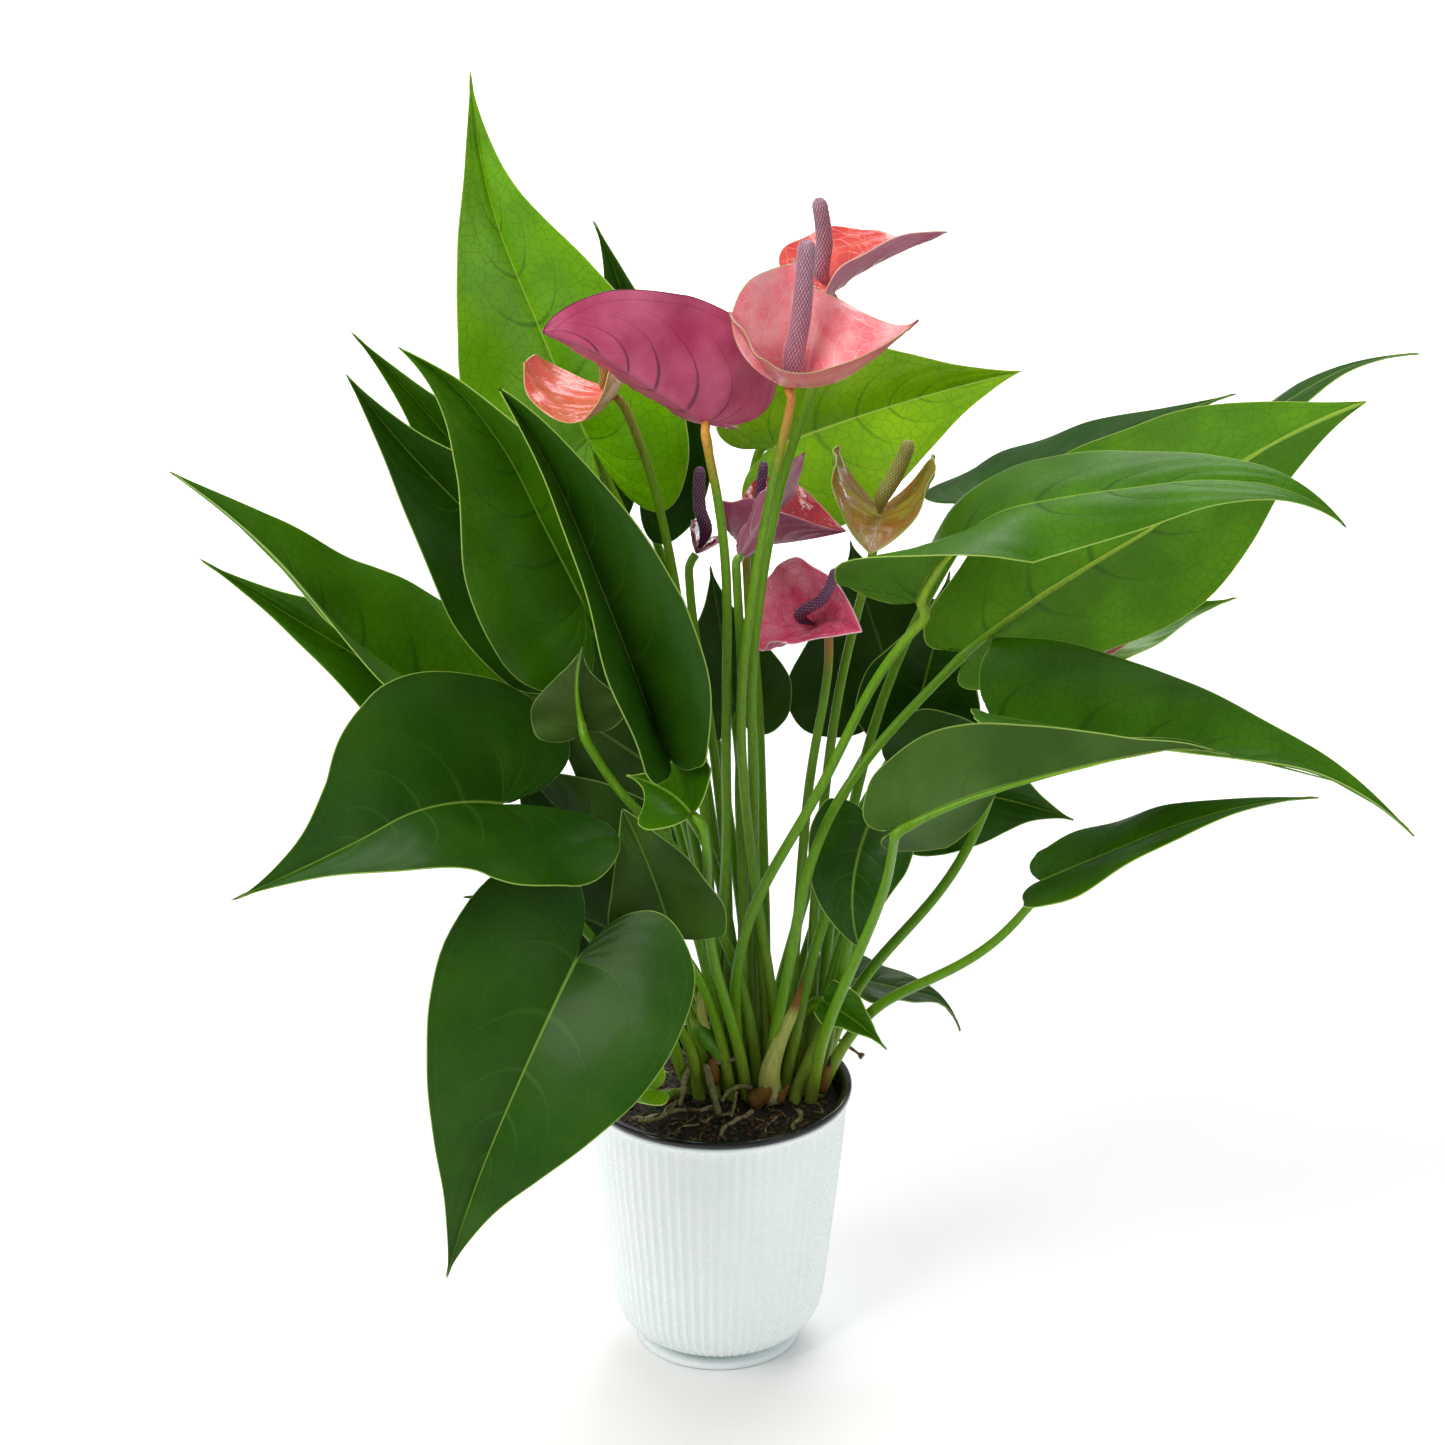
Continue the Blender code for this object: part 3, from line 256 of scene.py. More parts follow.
class Smooth:
    """A smooth curve through points, with a share of its length from 0 to 1 as parameter."""

    def __init__(self, points):
        self.points = [Vector(p) for p in points]
        steps = [(b - a).length for a, b in zip(self.points, self.points[1:])]
        self.length = sum(steps)
        self.knots = [sum(steps[:i]) / self.length for i in range(len(self.points))]
        self.slopes = [self.slope(i) for i in range(len(self.points))]

    def slope(self, i):
        """Direction at a point: the parabola through it and its neighbours."""
        m = min(max(i, 1), len(self.points) - 2)
        (a, b, c), (low, here, high) = self.points[m - 1:m + 2], self.knots[m - 1:m + 2]
        back, fore = (b - a) / (here - low), (c - b) / (high - here)
        middle = back.lerp(fore, (here - low) / (high - low))
        return middle if i == m else (back if i < m else fore) * 2 - middle

    def at(self, t):
        if t <= 0:
            return self.points[0] + self.slopes[0] * t
        if t >= 1:
            return self.points[-1] + self.slopes[-1] * (t - 1)
        i = max(k for k, knot in enumerate(self.knots[:-1]) if knot <= t)
        span = self.knots[i + 1] - self.knots[i]
        u = (t - self.knots[i]) / span
        start = self.points[i] * (1 + 2 * u) * (1 - u) ** 2 + self.slopes[i] * (span * u * (1 - u) ** 2)
        end = self.points[i + 1] * u * u * (3 - 2 * u) + self.slopes[i + 1] * (span * u * u * (u - 1))
        return start + end

    def along(self, t):
        t = min(max(t, 0.0), 1.0)
        return (self.at(t + 0.01) - self.at(t - 0.01)).normalized()


def tube(centres, radii, sides, start=0):
    """Points, faces and marks of a closed round stem; marks hold metres round and along it."""
    walked, points, marks = 0.0, [], []
    first = (centres[1] - centres[0]).orthogonal().normalized()
    for i, (centre, radius) in enumerate(zip(centres, radii)):
        before = centres[max(i - 1, 0)]
        tangent = (centres[min(i + 1, len(centres) - 1)] - before).normalized()
        first = (first - tangent * first.dot(tangent)).normalized()
        second = tangent.cross(first)
        walked += (centre - before).length
        for k in range(sides):
            turn = math.tau * k / sides
            points.append(centre + (first * math.cos(turn) + second * math.sin(turn)) * radius)
            marks.append((math.cos(turn) * radius, math.sin(turn) * radius, walked))
    rings = [range(i, i + sides) for i in range(start, start + len(points), sides)]
    return points, bands(rings) + [tuple(rings[0][::-1]), tuple(rings[-1])], marks


# Aerial roots: firm, pale roots that grow from the stem base, creep over the mix and dip into
# it. Three thick ones are solids of their own; thinner ones, never more than 1.5 mm, cross them.
ROOTS = (
    (((2, -10), (-8, -15), (-20, -17), (-33, -21), (-43, -19)), 1.3, "aerial_root_left"),
    (((16, -11), (13, -21), (4, -29), (1, -40)), 1.3, "aerial_root_front"),
    (((32, -10), (37, -18), (33, -28), (36, -35)), 1.3, "aerial_root_right"),
    (((-12, -3), (-20, -9), (-24, -18), (-20, -25)), 0.8), (((8, -12), (5, -18), (-2, -22), (-8, -31)), 0.9),
    (((24, -13), (26, -22), (21, -31), (24, -40)), 0.7), (((40, -4), (46, -10), (45, -20)), 0.8),
    (((-8, 6), (-22, 4), (-34, -2)), 0.9), (((30, 26), (36, 34), (30, 42)), 0.8),
    (((4, 28), (-6, 34), (-12, 42)), 0.9), (((-18, 16), (-28, 22), (-36, 18)), 0.7),
    (((46, 8), (48, 16), (42, 26)), 0.7), (((-2, -13), (-4, -24), (-14, -30), (-22, -36)), 0.7),
)
THICK_ROOTS, ROOT_SINK, ROOT_STEP, ROOT_SIDES, DIP = 3, 3.2, 1.2, 12, 7

# Root skin: a cream velamen that is greener where it is young and brown where it touches the mix
velamen = speckled("root_velamen", "#5c5a34", "#b3a576", 5.0, 0.6, 0.35)
for number, (places, radius, *nodes) in enumerate(ROOTS):
    path = Smooth([Vector((x, y, 0)) * MM for x, y in places])
    count = round(path.length / (ROOT_STEP * MM))
    centres, radii = [], []
    for i in range(count + 1):
        place, ends = path.at(i / count), min(i, count - i) / count
        sink = ROOT_SINK * max(0.0, 1 - ends * path.length / (DIP * MM)) ** 1.5 - radius * 0.2
        place.z = (soil_height(place.x / MM, place.y / MM) - sink) * MM
        centres.append(place)
        knots = 1 + 0.09 * math.sin(i * 0.9 + radius * 40) + 0.06 * math.sin(i * 0.37)
        radii.append(radius * (1.0 - 0.3 * i / count) * knots * MM)
    name = nodes[0] + "_velamen" if nodes else "thin_root_%d" % (number - THICK_ROOTS)
    add_piece(name, "aerial_root", nodes, *tube(centres, radii, ROOT_SIDES)[:2], [velamen])


# Leaves: thick, leathery, glossy heart-shaped blades, each on a long round petiole that stands
# in the mix. They were placed on the photograph, whose frame is 1445 picture points wide.
PICTURE_WIDTH, FOCAL_LENGTH = 1445.0, 5000.0
LOOK_DOWN = math.radians(23.5)
AHEAD = Vector((0, math.cos(LOOK_DOWN), -math.sin(LOOK_DOWN)))
PICTURE_UP = Vector((0, math.sin(LOOK_DOWN), math.cos(LOOK_DOWN)))
EYE = Vector((2, 0, 303)) * MM - 2170 * MM * AHEAD
TOP, BACK = 1, -1
WIDEST, FOLD_END = 0.16, 0.35
BLADE_THICKNESS, GAP = 0.8, 0.3


def from_picture(px, py, depth):
    """The place that shows at a picture point and lies at a depth in mm."""
    ray = AHEAD + PICTURE_UP * ((PICTURE_WIDTH / 2 - py) / FOCAL_LENGTH)
    ray.x = (px - PICTURE_WIDTH / 2) / FOCAL_LENGTH
    return EYE + ray / ray.y * (depth * MM - EYE.y)


# Half outlines from the joint round the lobe to the tip: shares of the lobe's length, then of
# the midrib, each with its share of the half width
LEAF_LOBE = ((0.55, 0.11), (1.0, 0.36), (0.84, 0.72), (0.28, 0.94))
LEAF_BLADE = ((0.10, 1.0), (0.25, 0.93), (0.41, 0.73), (0.58, 0.46), (0.75, 0.20), (0.89, 0.06))
SPATHE_LOBE = ((0.45, 0.10), (0.85, 0.30), (1.0, 0.55), (0.70, 0.83))
SPATHE_BLADE = ((0.02, 0.98), (0.25, 1.0), (0.48, 0.84), (0.70, 0.53), (0.87, 0.22), (0.95, 0.08))
LANCE_LOBE = ((0.5, 0.12), (1.0, 0.30), (0.5, 0.48))
LANCE_BLADE = ((0.08, 0.64), (0.24, 0.88), (0.42, 1.0), (0.60, 0.82), (0.78, 0.46), (0.92, 0.14))


@dataclass
class Blade:
    """A leaf's blade or a bloom's spathe, with the same values as its solid.

    rib: midrib from joint to tip, picture x, picture y, depth in mm
    width: real width in mm; tilt: degrees that the left and right half lean to the viewer
    foot: column and row of the stem on the soil; shows: the face that the viewer sees
    via: further places that the stem passes; lobe: length behind the joint
    camber, ears, twist: degrees; wave: mm and number; full: under 1 for a broad tip
    fold: degrees that each half folds up at the joint, fading out along the midrib
    """

    name: str
    rib: tuple
    width: float
    tilt: tuple
    foot: tuple
    shows: int = TOP
    via: tuple = ()
    lobe: float = 0.2
    camber: float = 25.0
    ears: float = 12.0
    wave: tuple = (1.5, 2.5)
    twist: float = 0.0
    fold: tuple = (0.0, 0.0)
    full: float = 1.0
    lobe_points: tuple = LEAF_LOBE
    blade_points: tuple = LEAF_BLADE

    def __post_init__(self):
        self.curve = Smooth([from_picture(*p) for p in self.rib])
        self.half_width = self.width * MM / 2
        along = self.curve.along(WIDEST)
        sight = (self.curve.at(WIDEST) - EYE).normalized()
        left = sight.cross(along).normalized() * -1
        near = (along * sight.dot(along) - sight).normalized()
        lean = [math.radians(degrees) for degrees in self.tilt]
        self.outs = [left * math.cos(lean[0]) + near * math.sin(lean[0]),
                     left * -math.cos(lean[1]) + near * math.sin(lean[1])]
        ups = [along.cross(self.outs[0]), self.outs[1].cross(along)]
        turn = 1 if (ups[0] + ups[1]).dot(-sight) * self.shows > 0 else -1
        self.turns = (turn, -turn)

    def axes(self, half, a):
        """Midrib direction, outward direction and upper face of one half at a station."""
        along = self.curve.along(a)
        out = Matrix.Rotation(math.radians(self.twist) * (a - WIDEST), 3, along) @ self.outs[half]
        out = (out - along * out.dot(along)).normalized()
        fold = math.radians(self.fold[half]) * max(0.0, 1 - a / FOLD_END)
        out = out * math.cos(fold) + along.cross(out) * (self.turns[half] * math.sin(fold))
        return along, out, along.cross(out) * self.turns[half]

    def point(self, half, a, b):
        """A place on the upper face: station a along the midrib, share b of the half width."""
        station = max(a, 0.0)
        along, out, up = self.axes(half, station)
        place = self.curve.at(station)
        height = self.wave[0] * MM * b * b * math.sin(math.tau * self.wave[1] * a + 2.4 * half)
        if a < 0:
            ear = math.radians(self.ears)
            place = place - (up * math.sin(ear) - along * math.cos(ear)) * (a * self.curve.length)
        bend = math.radians(self.camber)
        reach = (math.sin(bend / 2) - math.sin(bend / 2 - bend * b)) / bend
        rise = (math.cos(bend / 2 - bend * b) - math.cos(bend / 2)) / bend
        return place + out * (reach * self.half_width) + up * (rise * self.half_width + height)

    def face(self):
        """The mean direction of the upper face at the joint."""
        return (self.axes(0, 0.0)[2] + self.axes(1, 0.0)[2]).normalized()

    def outline(self):
        """Half outline: station, share of the half width, and station of its midrib point."""
        rows = [(-self.lobe * a, b, 0.0) for a, b in self.lobe_points]
        count = len(self.blade_points)
        return rows + [(a, b ** self.full, (i + 0.6) / (count + 0.6) * 0.9)
                       for i, (a, b) in enumerate(self.blade_points)]


# The leaves, from the top left round to the right; the blooms follow
LANCE = dict(lobe_points=LANCE_LOBE, blade_points=LANCE_BLADE)
LEAVES = [
    Blade("crest", ((588, 440, 75), (540, 330, 80), (490, 200, 92), (470, 68, 95)), 98, (22, 22), (1, 3),
          lobe=0.22),
    Blade("crest_back", ((640, 480, 112), (634, 340, 120), (592, 218, 124)), 76, (20, 35), (2, 3)),
    Blade("upper_left", ((582, 600, 0), (545, 528, -8), (497, 439, -14), (440, 374, -17), (397, 347, -18)),
          95, (22, 52), (1, 1), full=0.75),
    Blade("front_tall", ((650, 715, -45), (606, 600, -58), (545, 460, -64), (498, 387, -66)), 80, (74, 30),
          (0, -1), full=0.5, lobe=0.1, fold=(0, 30), via=((690, 900, -22), (655, 770, -36))),
    Blade("left_dark", ((572, 612, 50), (470, 515, 42), (398, 440, 38), (345, 373, 34)), 98, (28, 40),
          (1, 2), full=0.85),
    Blade("left_back", ((565, 590, 100), (450, 440, 92), (349, 330, 82)), 88, (35, 35), (0, 3)),
    Blade("left_long", ((468, 716, 25), (390, 668, 20), (335, 625, 17), (265, 548, 14), (170, 471, 12)),
          100, (80, -38), (0, 1), full=0.85),
    Blade("left_under", ((470, 722, 64), (330, 640, 59), (198, 558, 54)), 72, (48, 20), (0, 2)),
    Blade("left_heart", ((502, 804, -49), (412, 813, -82), (360, 840, -104), (231, 901, -139)), 126,
          (52, -22), (-2, -1), lobe=0.26, full=1.1, via=((664, 1020, -44), (600, 950, -69),
          (534, 865, -64))),
    Blade("front_heart", ((576, 960, -85), (522, 1075, -112), (478, 1180, -120), (446, 1280, -118)), 112,
          (15, 18), (-1, -2), lobe=0.19),
    Blade("fold_small", ((690, 812, -64), (665, 790, -50), (625, 775, -42)), 46, (30, 30), (2, -2),
          wave=(0.6, 1.0), via=((724, 1005, -22), (700, 940, -36), (710, 880, -46), (709, 850, -56))),
    Blade("backlit", ((672, 935, -60), (649, 867, -56), (622, 808, -48)), 54, (15, 25), (1, -2), lobe=0.04,
          full=0.6),
    Blade("shade_left", ((600, 875, -14), (550, 800, -9), (500, 755, -4)), 80, (5, 20), (-1, -1)),
    Blade("shade_front", ((612, 930, -28), (540, 905, -33), (462, 897, -35)), 60, (15, 15), (0, -2)),
    Blade("rim", ((652, 1090, -38), (625, 1092, -42), (597, 1101, -46)), 28, (60, 5), (-3, -1),
          wave=(0.3, 1.0), via=((672, 1100, -24),)),
    Blade("small_heart", ((582, 724, -38), (577, 685, -33), (583, 646, -24)), 46, (-20, -20), (2, -1),
          shows=BACK, via=((678, 850, -30),)),
    Blade("centre_left", ((650, 765, 2), (580, 720, 4), (517, 690, 4)), 60, (10, 10), (2, 2)),
    Blade("gold", ((775, 446, 86), (824, 428, 92), (907, 401, 104), (1022, 371, 111)), 88, (25, 5), (3, 2),
          full=0.8),
    Blade("right_back", ((985, 500, 84), (1060, 464, 86), (1140, 428, 88), (1236, 393, 88)), 70, (-64, 50),
          (6, 2)),
    Blade("right_front", ((918, 600, -50), (948, 550, -60), (1000, 512, -68), (1060, 498, -72),
          (1130, 488, -74), (1210, 480, -74), (1287, 490, -72), (1347, 527, -70)), 78, (-74, 52), (1, -1),
          lobe=0.04, ears=0, fold=(0, 110), full=0.65, via=((736, 960, -14), (745, 915, -24),
          (787, 847, -40), (847, 743, -50), (898, 637, -53))),
    Blade("right_great", ((968, 650, 8), (1065, 580, 20), (1140, 536, 28), (1260, 451, 38),
          (1368, 401, 42)), 104, (-22, -38), (3, -2), shows=BACK, lobe=0.06, via=((792, 960, -22),
          (803, 880, -37), (825, 810, -36), (867, 755, -22), (916, 702, -6)), **LANCE),
    Blade("right_tail", ((994, 717, -23), (1060, 728, -28), (1150, 742, -38), (1240, 757, -50),
          (1325, 776, -62), (1415, 836, -72)), 90, (-35, 82), (5, -1), lobe=0.05, full=1.0,
          via=((880, 850, 13), (930, 765, -4))),
    Blade("right_twist", ((910, 824, -88), (975, 795, -92), (1037, 777, -92), (1120, 757, -88),
          (1190, 748, -82), (1236, 758, -78)), 64, (-5, -75), (6, -2), shows=BACK, twist=110, lobe=0.15,
          via=((824, 1030, -26), (856, 960, -40), (882, 900, -58), (896, 855, -80))),
    Blade("right_low", ((1043, 880, -40), (1110, 852, -46), (1180, 824, -50), (1250, 805, -50),
          (1319, 797, -46)), 52, (-60, 65), (6, -1), lobe=0.05, via=((898, 992, -14), (953, 972, -24),
          (999, 951, -30), (1022, 921, -34))),
    Blade("right_teal", ((905, 775, 64), (960, 790, 66), (1020, 803, 70), (1076, 821, 74)), 76, (30, 30),
          (5, 2)),
    Blade("centre_right", ((915, 715, 84), (935, 640, 86), (950, 570, 84)), 60, (20, 20), (4, 3)),
    Blade("centre_back", ((893, 682, 110), (872, 620, 112), (850, 540, 112)), 100, (10, 10), (3, 3)),
    Blade("centre_deep", ((733, 705, 58), (722, 637, 60), (710, 565, 60)), 56, (15, 15), (2, 1)),
    Blade("droop", ((868, 826, -12), (853, 885, -24), (860, 948, -22)), 48, (15, 15), (5, -2), lobe=0.1,
          full=0.6, via=((846, 950, 4), (862, 880, 0))),
    Blade("notch", ((893, 812, -5), (903, 842, -7), (905, 868, -8)), 20, (20, 20), (4, -1)),
    Blade("low_right", ((850, 978, 42), (905, 990, 46), (940, 1001, 47), (961, 1031, 46)), 32, (-50, 60),
          (4, 1), lobe=0.05),
    Blade("low_tip", ((825, 1002, -2), (855, 1021, -6), (887, 1050, -8)), 26, (30, 50), (3, 1), lobe=0.05),
    Blade("far_right", ((1205, 455, 120), (1285, 402, 122), (1345, 369, 122), (1419, 353, 118)), 46,
          (-80, 65), (5, 3), lobe=0.06, via=((848, 900, 44), (960, 700, 100))),
    Blade("right_under", ((1070, 628, 76), (1130, 630, 78), (1185, 614, 82), (1237, 597, 86)), 50,
          (-30, 55), (6, 1), lobe=0.08, via=((868, 962, 20), (939, 903, 28), (985, 820, 36),
          (1013, 723, 48))),
]
SPATHE = dict(lobe_points=SPATHE_LOBE, blade_points=SPATHE_BLADE, camber=-35.0)
SPATHES = [
    Blade("purple", ((706, 422, -72), (640, 380, -82), (585, 346, -88), (542, 331, -88)), 86, (-88, -8),
          (-0.6, 0), shows=BACK, lobe=0.34, ears=20, full=0.6, via=((726, 880, -2), (733, 690, -24),
          (729, 589, -40), (717, 483, -58)), **SPATHE),
    Blade("pink", ((788, 386, -70), (835, 381, -78), (872, 358, -84), (898, 337, -88), (919, 320, -90)),
          106, (5, 100), (4.02, 0), lobe=0.42, ears=50, fold=(0, 15), full=1.7, via=((750, 850, -8),
          (742, 659, -45), (760, 553, -48), (774, 466, -55)), **SPATHE),
    Blade("salmon", ((824, 290, -25), (870, 266, -30), (915, 244, -32), (947, 231, -30)), 60, (-45, 88),
          (3.25, 0), twist=-60, lobe=0.3, ears=40, via=((752, 850, 6), (750, 659, -35), (766, 553, -36),
          (788, 440, -28)), **SPATHE),
    Blade("peach", ((614, 394, 15), (602, 408, -8), (583, 420, -34)), 90, (136, -14), (0.17, 0), lobe=0.3,
          ears=20, **dict(SPATHE, camber=-100.0)),
    Blade("roll", ((741, 556, -14), (765, 515, -18), (805, 452, -20)), 50, (-78, -78), (1.71, 0),
          shows=BACK, lobe=0.06, via=((742, 800, -6), (738, 640, -30)), **SPATHE),
    Blade("crimson", ((744, 545, 44), (795, 540, 36), (846, 530, 28)), 66, (-28, 128), (2.48, 0), lobe=0.1,
          ears=30, **SPATHE),
    Blade("wine", ((697, 552, 35), (701, 544, 57), (705, 536, 79)), 26, (55, 55), (0.94, 0), lobe=0.25,
          **SPATHE),
    Blade("magenta", ((812, 628, 3), (838, 620, -14), (862, 632, -30)), 62, (4, 94), (4.79, 0), lobe=0.5,
          ears=55, **SPATHE),
    Blade("lime", ((880, 512, 30), (877, 530, 12), (870, 554, -8)), 78, (58, 52), (5.56, 0), lobe=0.25,
          **dict(SPATHE, camber=-70.0)),
    Blade("hidden", ((1055, 635, 55), (1105, 636, 52), (1149, 625, 50)), 40, (-60, 60), (6.33, 0), lobe=0.3,
          **SPATHE),
]

# Where each stem stands on the soil and how it is eased past the others, as in the solids
PETIOLE_RADIUS, STALK_RADIUS = (2.8, 1.9), (2.4, 1.9)
CROWN = Vector((22, 10, 0)) * MM
FOOT_PITCH, ROW_START, FOOT_DEPTH, FOOT_RISE = 7.0, 7.6, 8.0, 5.0
NECK, NECK_SLANT, MIDRIB_SINK = 9.0, 0.6, 0.2
FREE_BENDS = ((0.18, 0.40), (0.55, 0.80))
STEM_SPACING, STEM_CLEARANCE, BLADE_CLEARANCE = 6.0, 1.8, 6.5
EASING_ROUNDS, EASING_PUSH, STIFFNESS = 80, 0.5, 0.12
EASING_SPREAD = (1, 2, 3, 4, 3, 2, 1)
FOOT_HOLD, JOINT_HOLD, HOLD_FADE = 10.0, 8.0, 14.0
SMALL_WIDTH = 79


def foot_place(column, row):
    """A stem's place on the soil: row 0 is the crown's own, others lie in front and behind."""
    x = CROWN.x + (column - 3.25 + 0.5 * (row % 2)) * FOOT_PITCH * MM
    y = CROWN.y
    if row:
        y += math.copysign(ROW_START + (abs(row) - 1) * FOOT_PITCH * 0.9, row) * MM
    return Vector((x, y, SOIL_LEVEL * MM))


def stem_route(blade):
    """Points from the soil to just below the joint, close enough to be eased apart."""
    foot, face, along = foot_place(*blade.foot), blade.face(), blade.curve.along(0)
    if blade in LEAVES:
        joint = blade.curve.at(0) - face * ((PETIOLE_RADIUS[1] + MIDRIB_SINK) * MM)
        hang = max(0.0, -along.z)
        arrive = joint - (face * NECK_SLANT * (1 + hang) + along * (1 - hang)) * (NECK * MM)
    else:
        joint = blade.curve.at(0) - face * ((BLADE_THICKNESS + 1.5 * GAP) * MM)
        arrive = joint - face * (NECK * MM)
    rise = arrive - foot
    free = [foot + Vector((rise.x, rise.y, 0)) * out + Vector((0, 0, rise.z * up)) for out, up in FREE_BENDS]
    sunk = FOOT_DEPTH if blade.foot[1] else 0
    start = [foot - Vector((0, 0, sunk * MM)), foot + Vector((0, 0, FOOT_RISE * MM))]
    route = Smooth(start + ([from_picture(*p) for p in blade.via] or free) + [arrive, joint])
    count = round(route.length / (STEM_SPACING * MM))
    return np.array([tuple(route.at(i / count)) for i in range(count + 1)])


def sheet_marks(blade):
    """Places on the solid's own coarse blade, with the direction of its face at each."""
    across = (0.5, 1.0) if blade.width > SMALL_WIDTH or blade.twist else (1.0,)
    faces = []
    for half in (0, 1):
        strips = []
        for a, b, root in blade.outline():
            strip = [blade.point(half, root + (a - root) * share, b * share) for share in across]
            strips.append([blade.curve.at(root)] + strip)
        for one, two in zip(strips, strips[1:]):
            faces += [(one[0], two[1], two[0]), (one[0], one[1], two[1])]
            for c, d, e, f in zip(one[1:], one[2:], two[1:], two[2:]):
                faces += [(c, d, f), (c, f, e)]
        faces += [(a, b, blade.curve.at(1.0)) for a, b in zip(strips[-1], strips[-1][1:])]
    places, normals = [], []
    for a, b, c in faces:
        normal = (b - a).cross(c - a)
        if normal.length > 1e-9:
            places.append(tuple((a + b + c) / 3))
            normals.append(tuple(normal.normalized()))
    return np.array(places), np.array(normals)


def ease_stems(routes, radii, sheets):
    """Bend the stems apart, and off the blades that they pass, with their ends kept."""
    soft = np.array(EASING_SPREAD) / sum(EASING_SPREAD)
    for _ in range(EASING_ROUNDS):
        eased = []
        for i, route in enumerate(routes):
            rest = [k for k in range(len(routes)) if k != i]
            thick = np.concatenate([np.full(len(routes[k]), radii[k]) for k in rest])
            apart = route[:, None] - np.concatenate([routes[k] for k in rest])[None]
            gaps = np.linalg.norm(apart, axis=2)
            lack = thick[None] + radii[i] + STEM_CLEARANCE * MM - gaps
            near = lack.argmax(axis=1)
            rows = np.arange(len(route))
            push = np.clip(lack[rows, near], 0, None)[:, None] * EASING_PUSH
            shift = apart[rows, near] / gaps[rows, near][:, None] * push
            places, normals = [np.concatenate([sheets[k][j] for k in rest]) for j in (0, 1)]
            apart = route[:, None] - places[None]
            gaps = np.linalg.norm(apart, axis=2)
            near = gaps.argmin(axis=1)
            lack = np.clip(radii[i] + BLADE_CLEARANCE * MM - gaps[rows, near], 0, None)
            side = np.sign((apart[rows, near] * normals[near]).sum(axis=1))
            shift += normals[near] * (side * lack * EASING_PUSH)[:, None]
            shift = np.stack([np.convolve(shift[:, k], soft, "same") for k in range(3)], axis=1)
            steps = rows * STEM_SPACING
            free = np.minimum(steps - FOOT_HOLD, steps[::-1] - JOINT_HOLD) / HOLD_FADE
            hold = np.clip(free, 0, 1)[:, None]
            bent = route + shift * hold
            bent[1:-1] += (bent[:-2] + bent[2:] - 2 * bent[1:-1]) * STIFFNESS * hold[1:-1]
            eased.append(bent)
        routes = eased
    return routes


blades = LEAVES + SPATHES
thicknesses = [(PETIOLE_RADIUS if b in LEAVES else STALK_RADIUS)[0] * MM for b in blades]
routes = ease_stems([stem_route(b) for b in blades], thicknesses, [sheet_marks(b) for b in blades])
routes = {blade.name: Smooth([Vector(p) for p in route]) for blade, route in zip(blades, routes)}

# The fine blade: rows round each half, and shares of the way from the midrib to the margin
ROWS = 64
SHARES = (0, 0.015, 0.045, 0.1, 0.17, 0.25, 0.34, 0.43, 0.52, 0.61, 0.70, 0.78, 0.85, 0.91, 0.955, 0.985, 1)
MARGIN_THICKNESS, MARGIN_WIDTH = 0.45, 3
VEIN_BEND, QUILT_WIDTH = 2.2, 9


def fine_sheet(blade, veins, quilt, sweep):
    """Points, faces, marks and edge loop of a blade's upper face, quilted between its veins.

    veins: their number on each half; quilt: mm that the blade rises between them; sweep: how
    far they bend towards the tip on their way out. The marks are the place between two veins,
    the share of the way out and the veins' spacing; then metres across, along and to the margin.
    """
    outline = Smooth([(0.0, 0.0, 0.0)] + blade.outline() + [(1.0, 0.0, 1.0)])
    first = outline.knots[1] * 0.6
    points, faces, marks, edges, ribs = [], [], [], [], {}
    for half in (0, 1):
        grid = []
        rows = [outline.at(first + (1 - first) * i / ROWS) for i in range(ROWS + 1)]
        rims = [blade.point(half, a, max(b, 0.0)) for a, b, _ in rows]
        for i, (a, b, root) in enumerate(rows):
            root, b, tip = min(max(root, 0.0), 1.0), max(b, 0.0), i == ROWS
            reach = (rims[i] - blade.curve.at(root)).length
            step = (rims[min(i + 1, ROWS)] - rims[max(i - 1, 0)]).length / (2 if 0 < i < ROWS else 1)
            line = []
            for share in SHARES:
                if share == 0 or tip:
                    key = round(1.0 if tip else root, 5)
                    if key not in ribs:
                        ribs[key] = len(points)
                        points.append(blade.curve.at(key))
                        marks.append(((i / ROWS * veins, 0.0, 0.0), (0.0, key * blade.curve.length, 1.0)))
                    line.append(ribs[key])
                    continue
                vein = (i / ROWS - sweep * share ** VEIN_BEND) * veins
                spread = step * ROWS / veins * share
                between = 1 - abs(2 * (vein % 1) - 1)
                rise = quilt * MM * (between * (2 - between))
                rise *= min(1.0, share * 5) * min(1.0, (1 - share) * 6)
                rise *= min(1.0, spread / (QUILT_WIDTH * MM))
                station = root + (a - root) * share
                up = blade.axes(half, max(station, 0.0))[2]
                line.append(len(points))
                points.append(blade.point(half, station, b * share) + up * rise)
                out = b * share * blade.half_width * (-1 if half else 1)
                flat = (out, station * blade.curve.length, reach * (1 - share))
                marks.append(((vein, share, spread), flat))
            grid.append(line)
        faces += [face[::blade.turns[half]] for face in bands(grid, False)]
        edges.append(grid[0] + [line[-1] for line in grid[1:]])
    return points, faces, marks, edges[0] + edges[1][-2:0:-1]


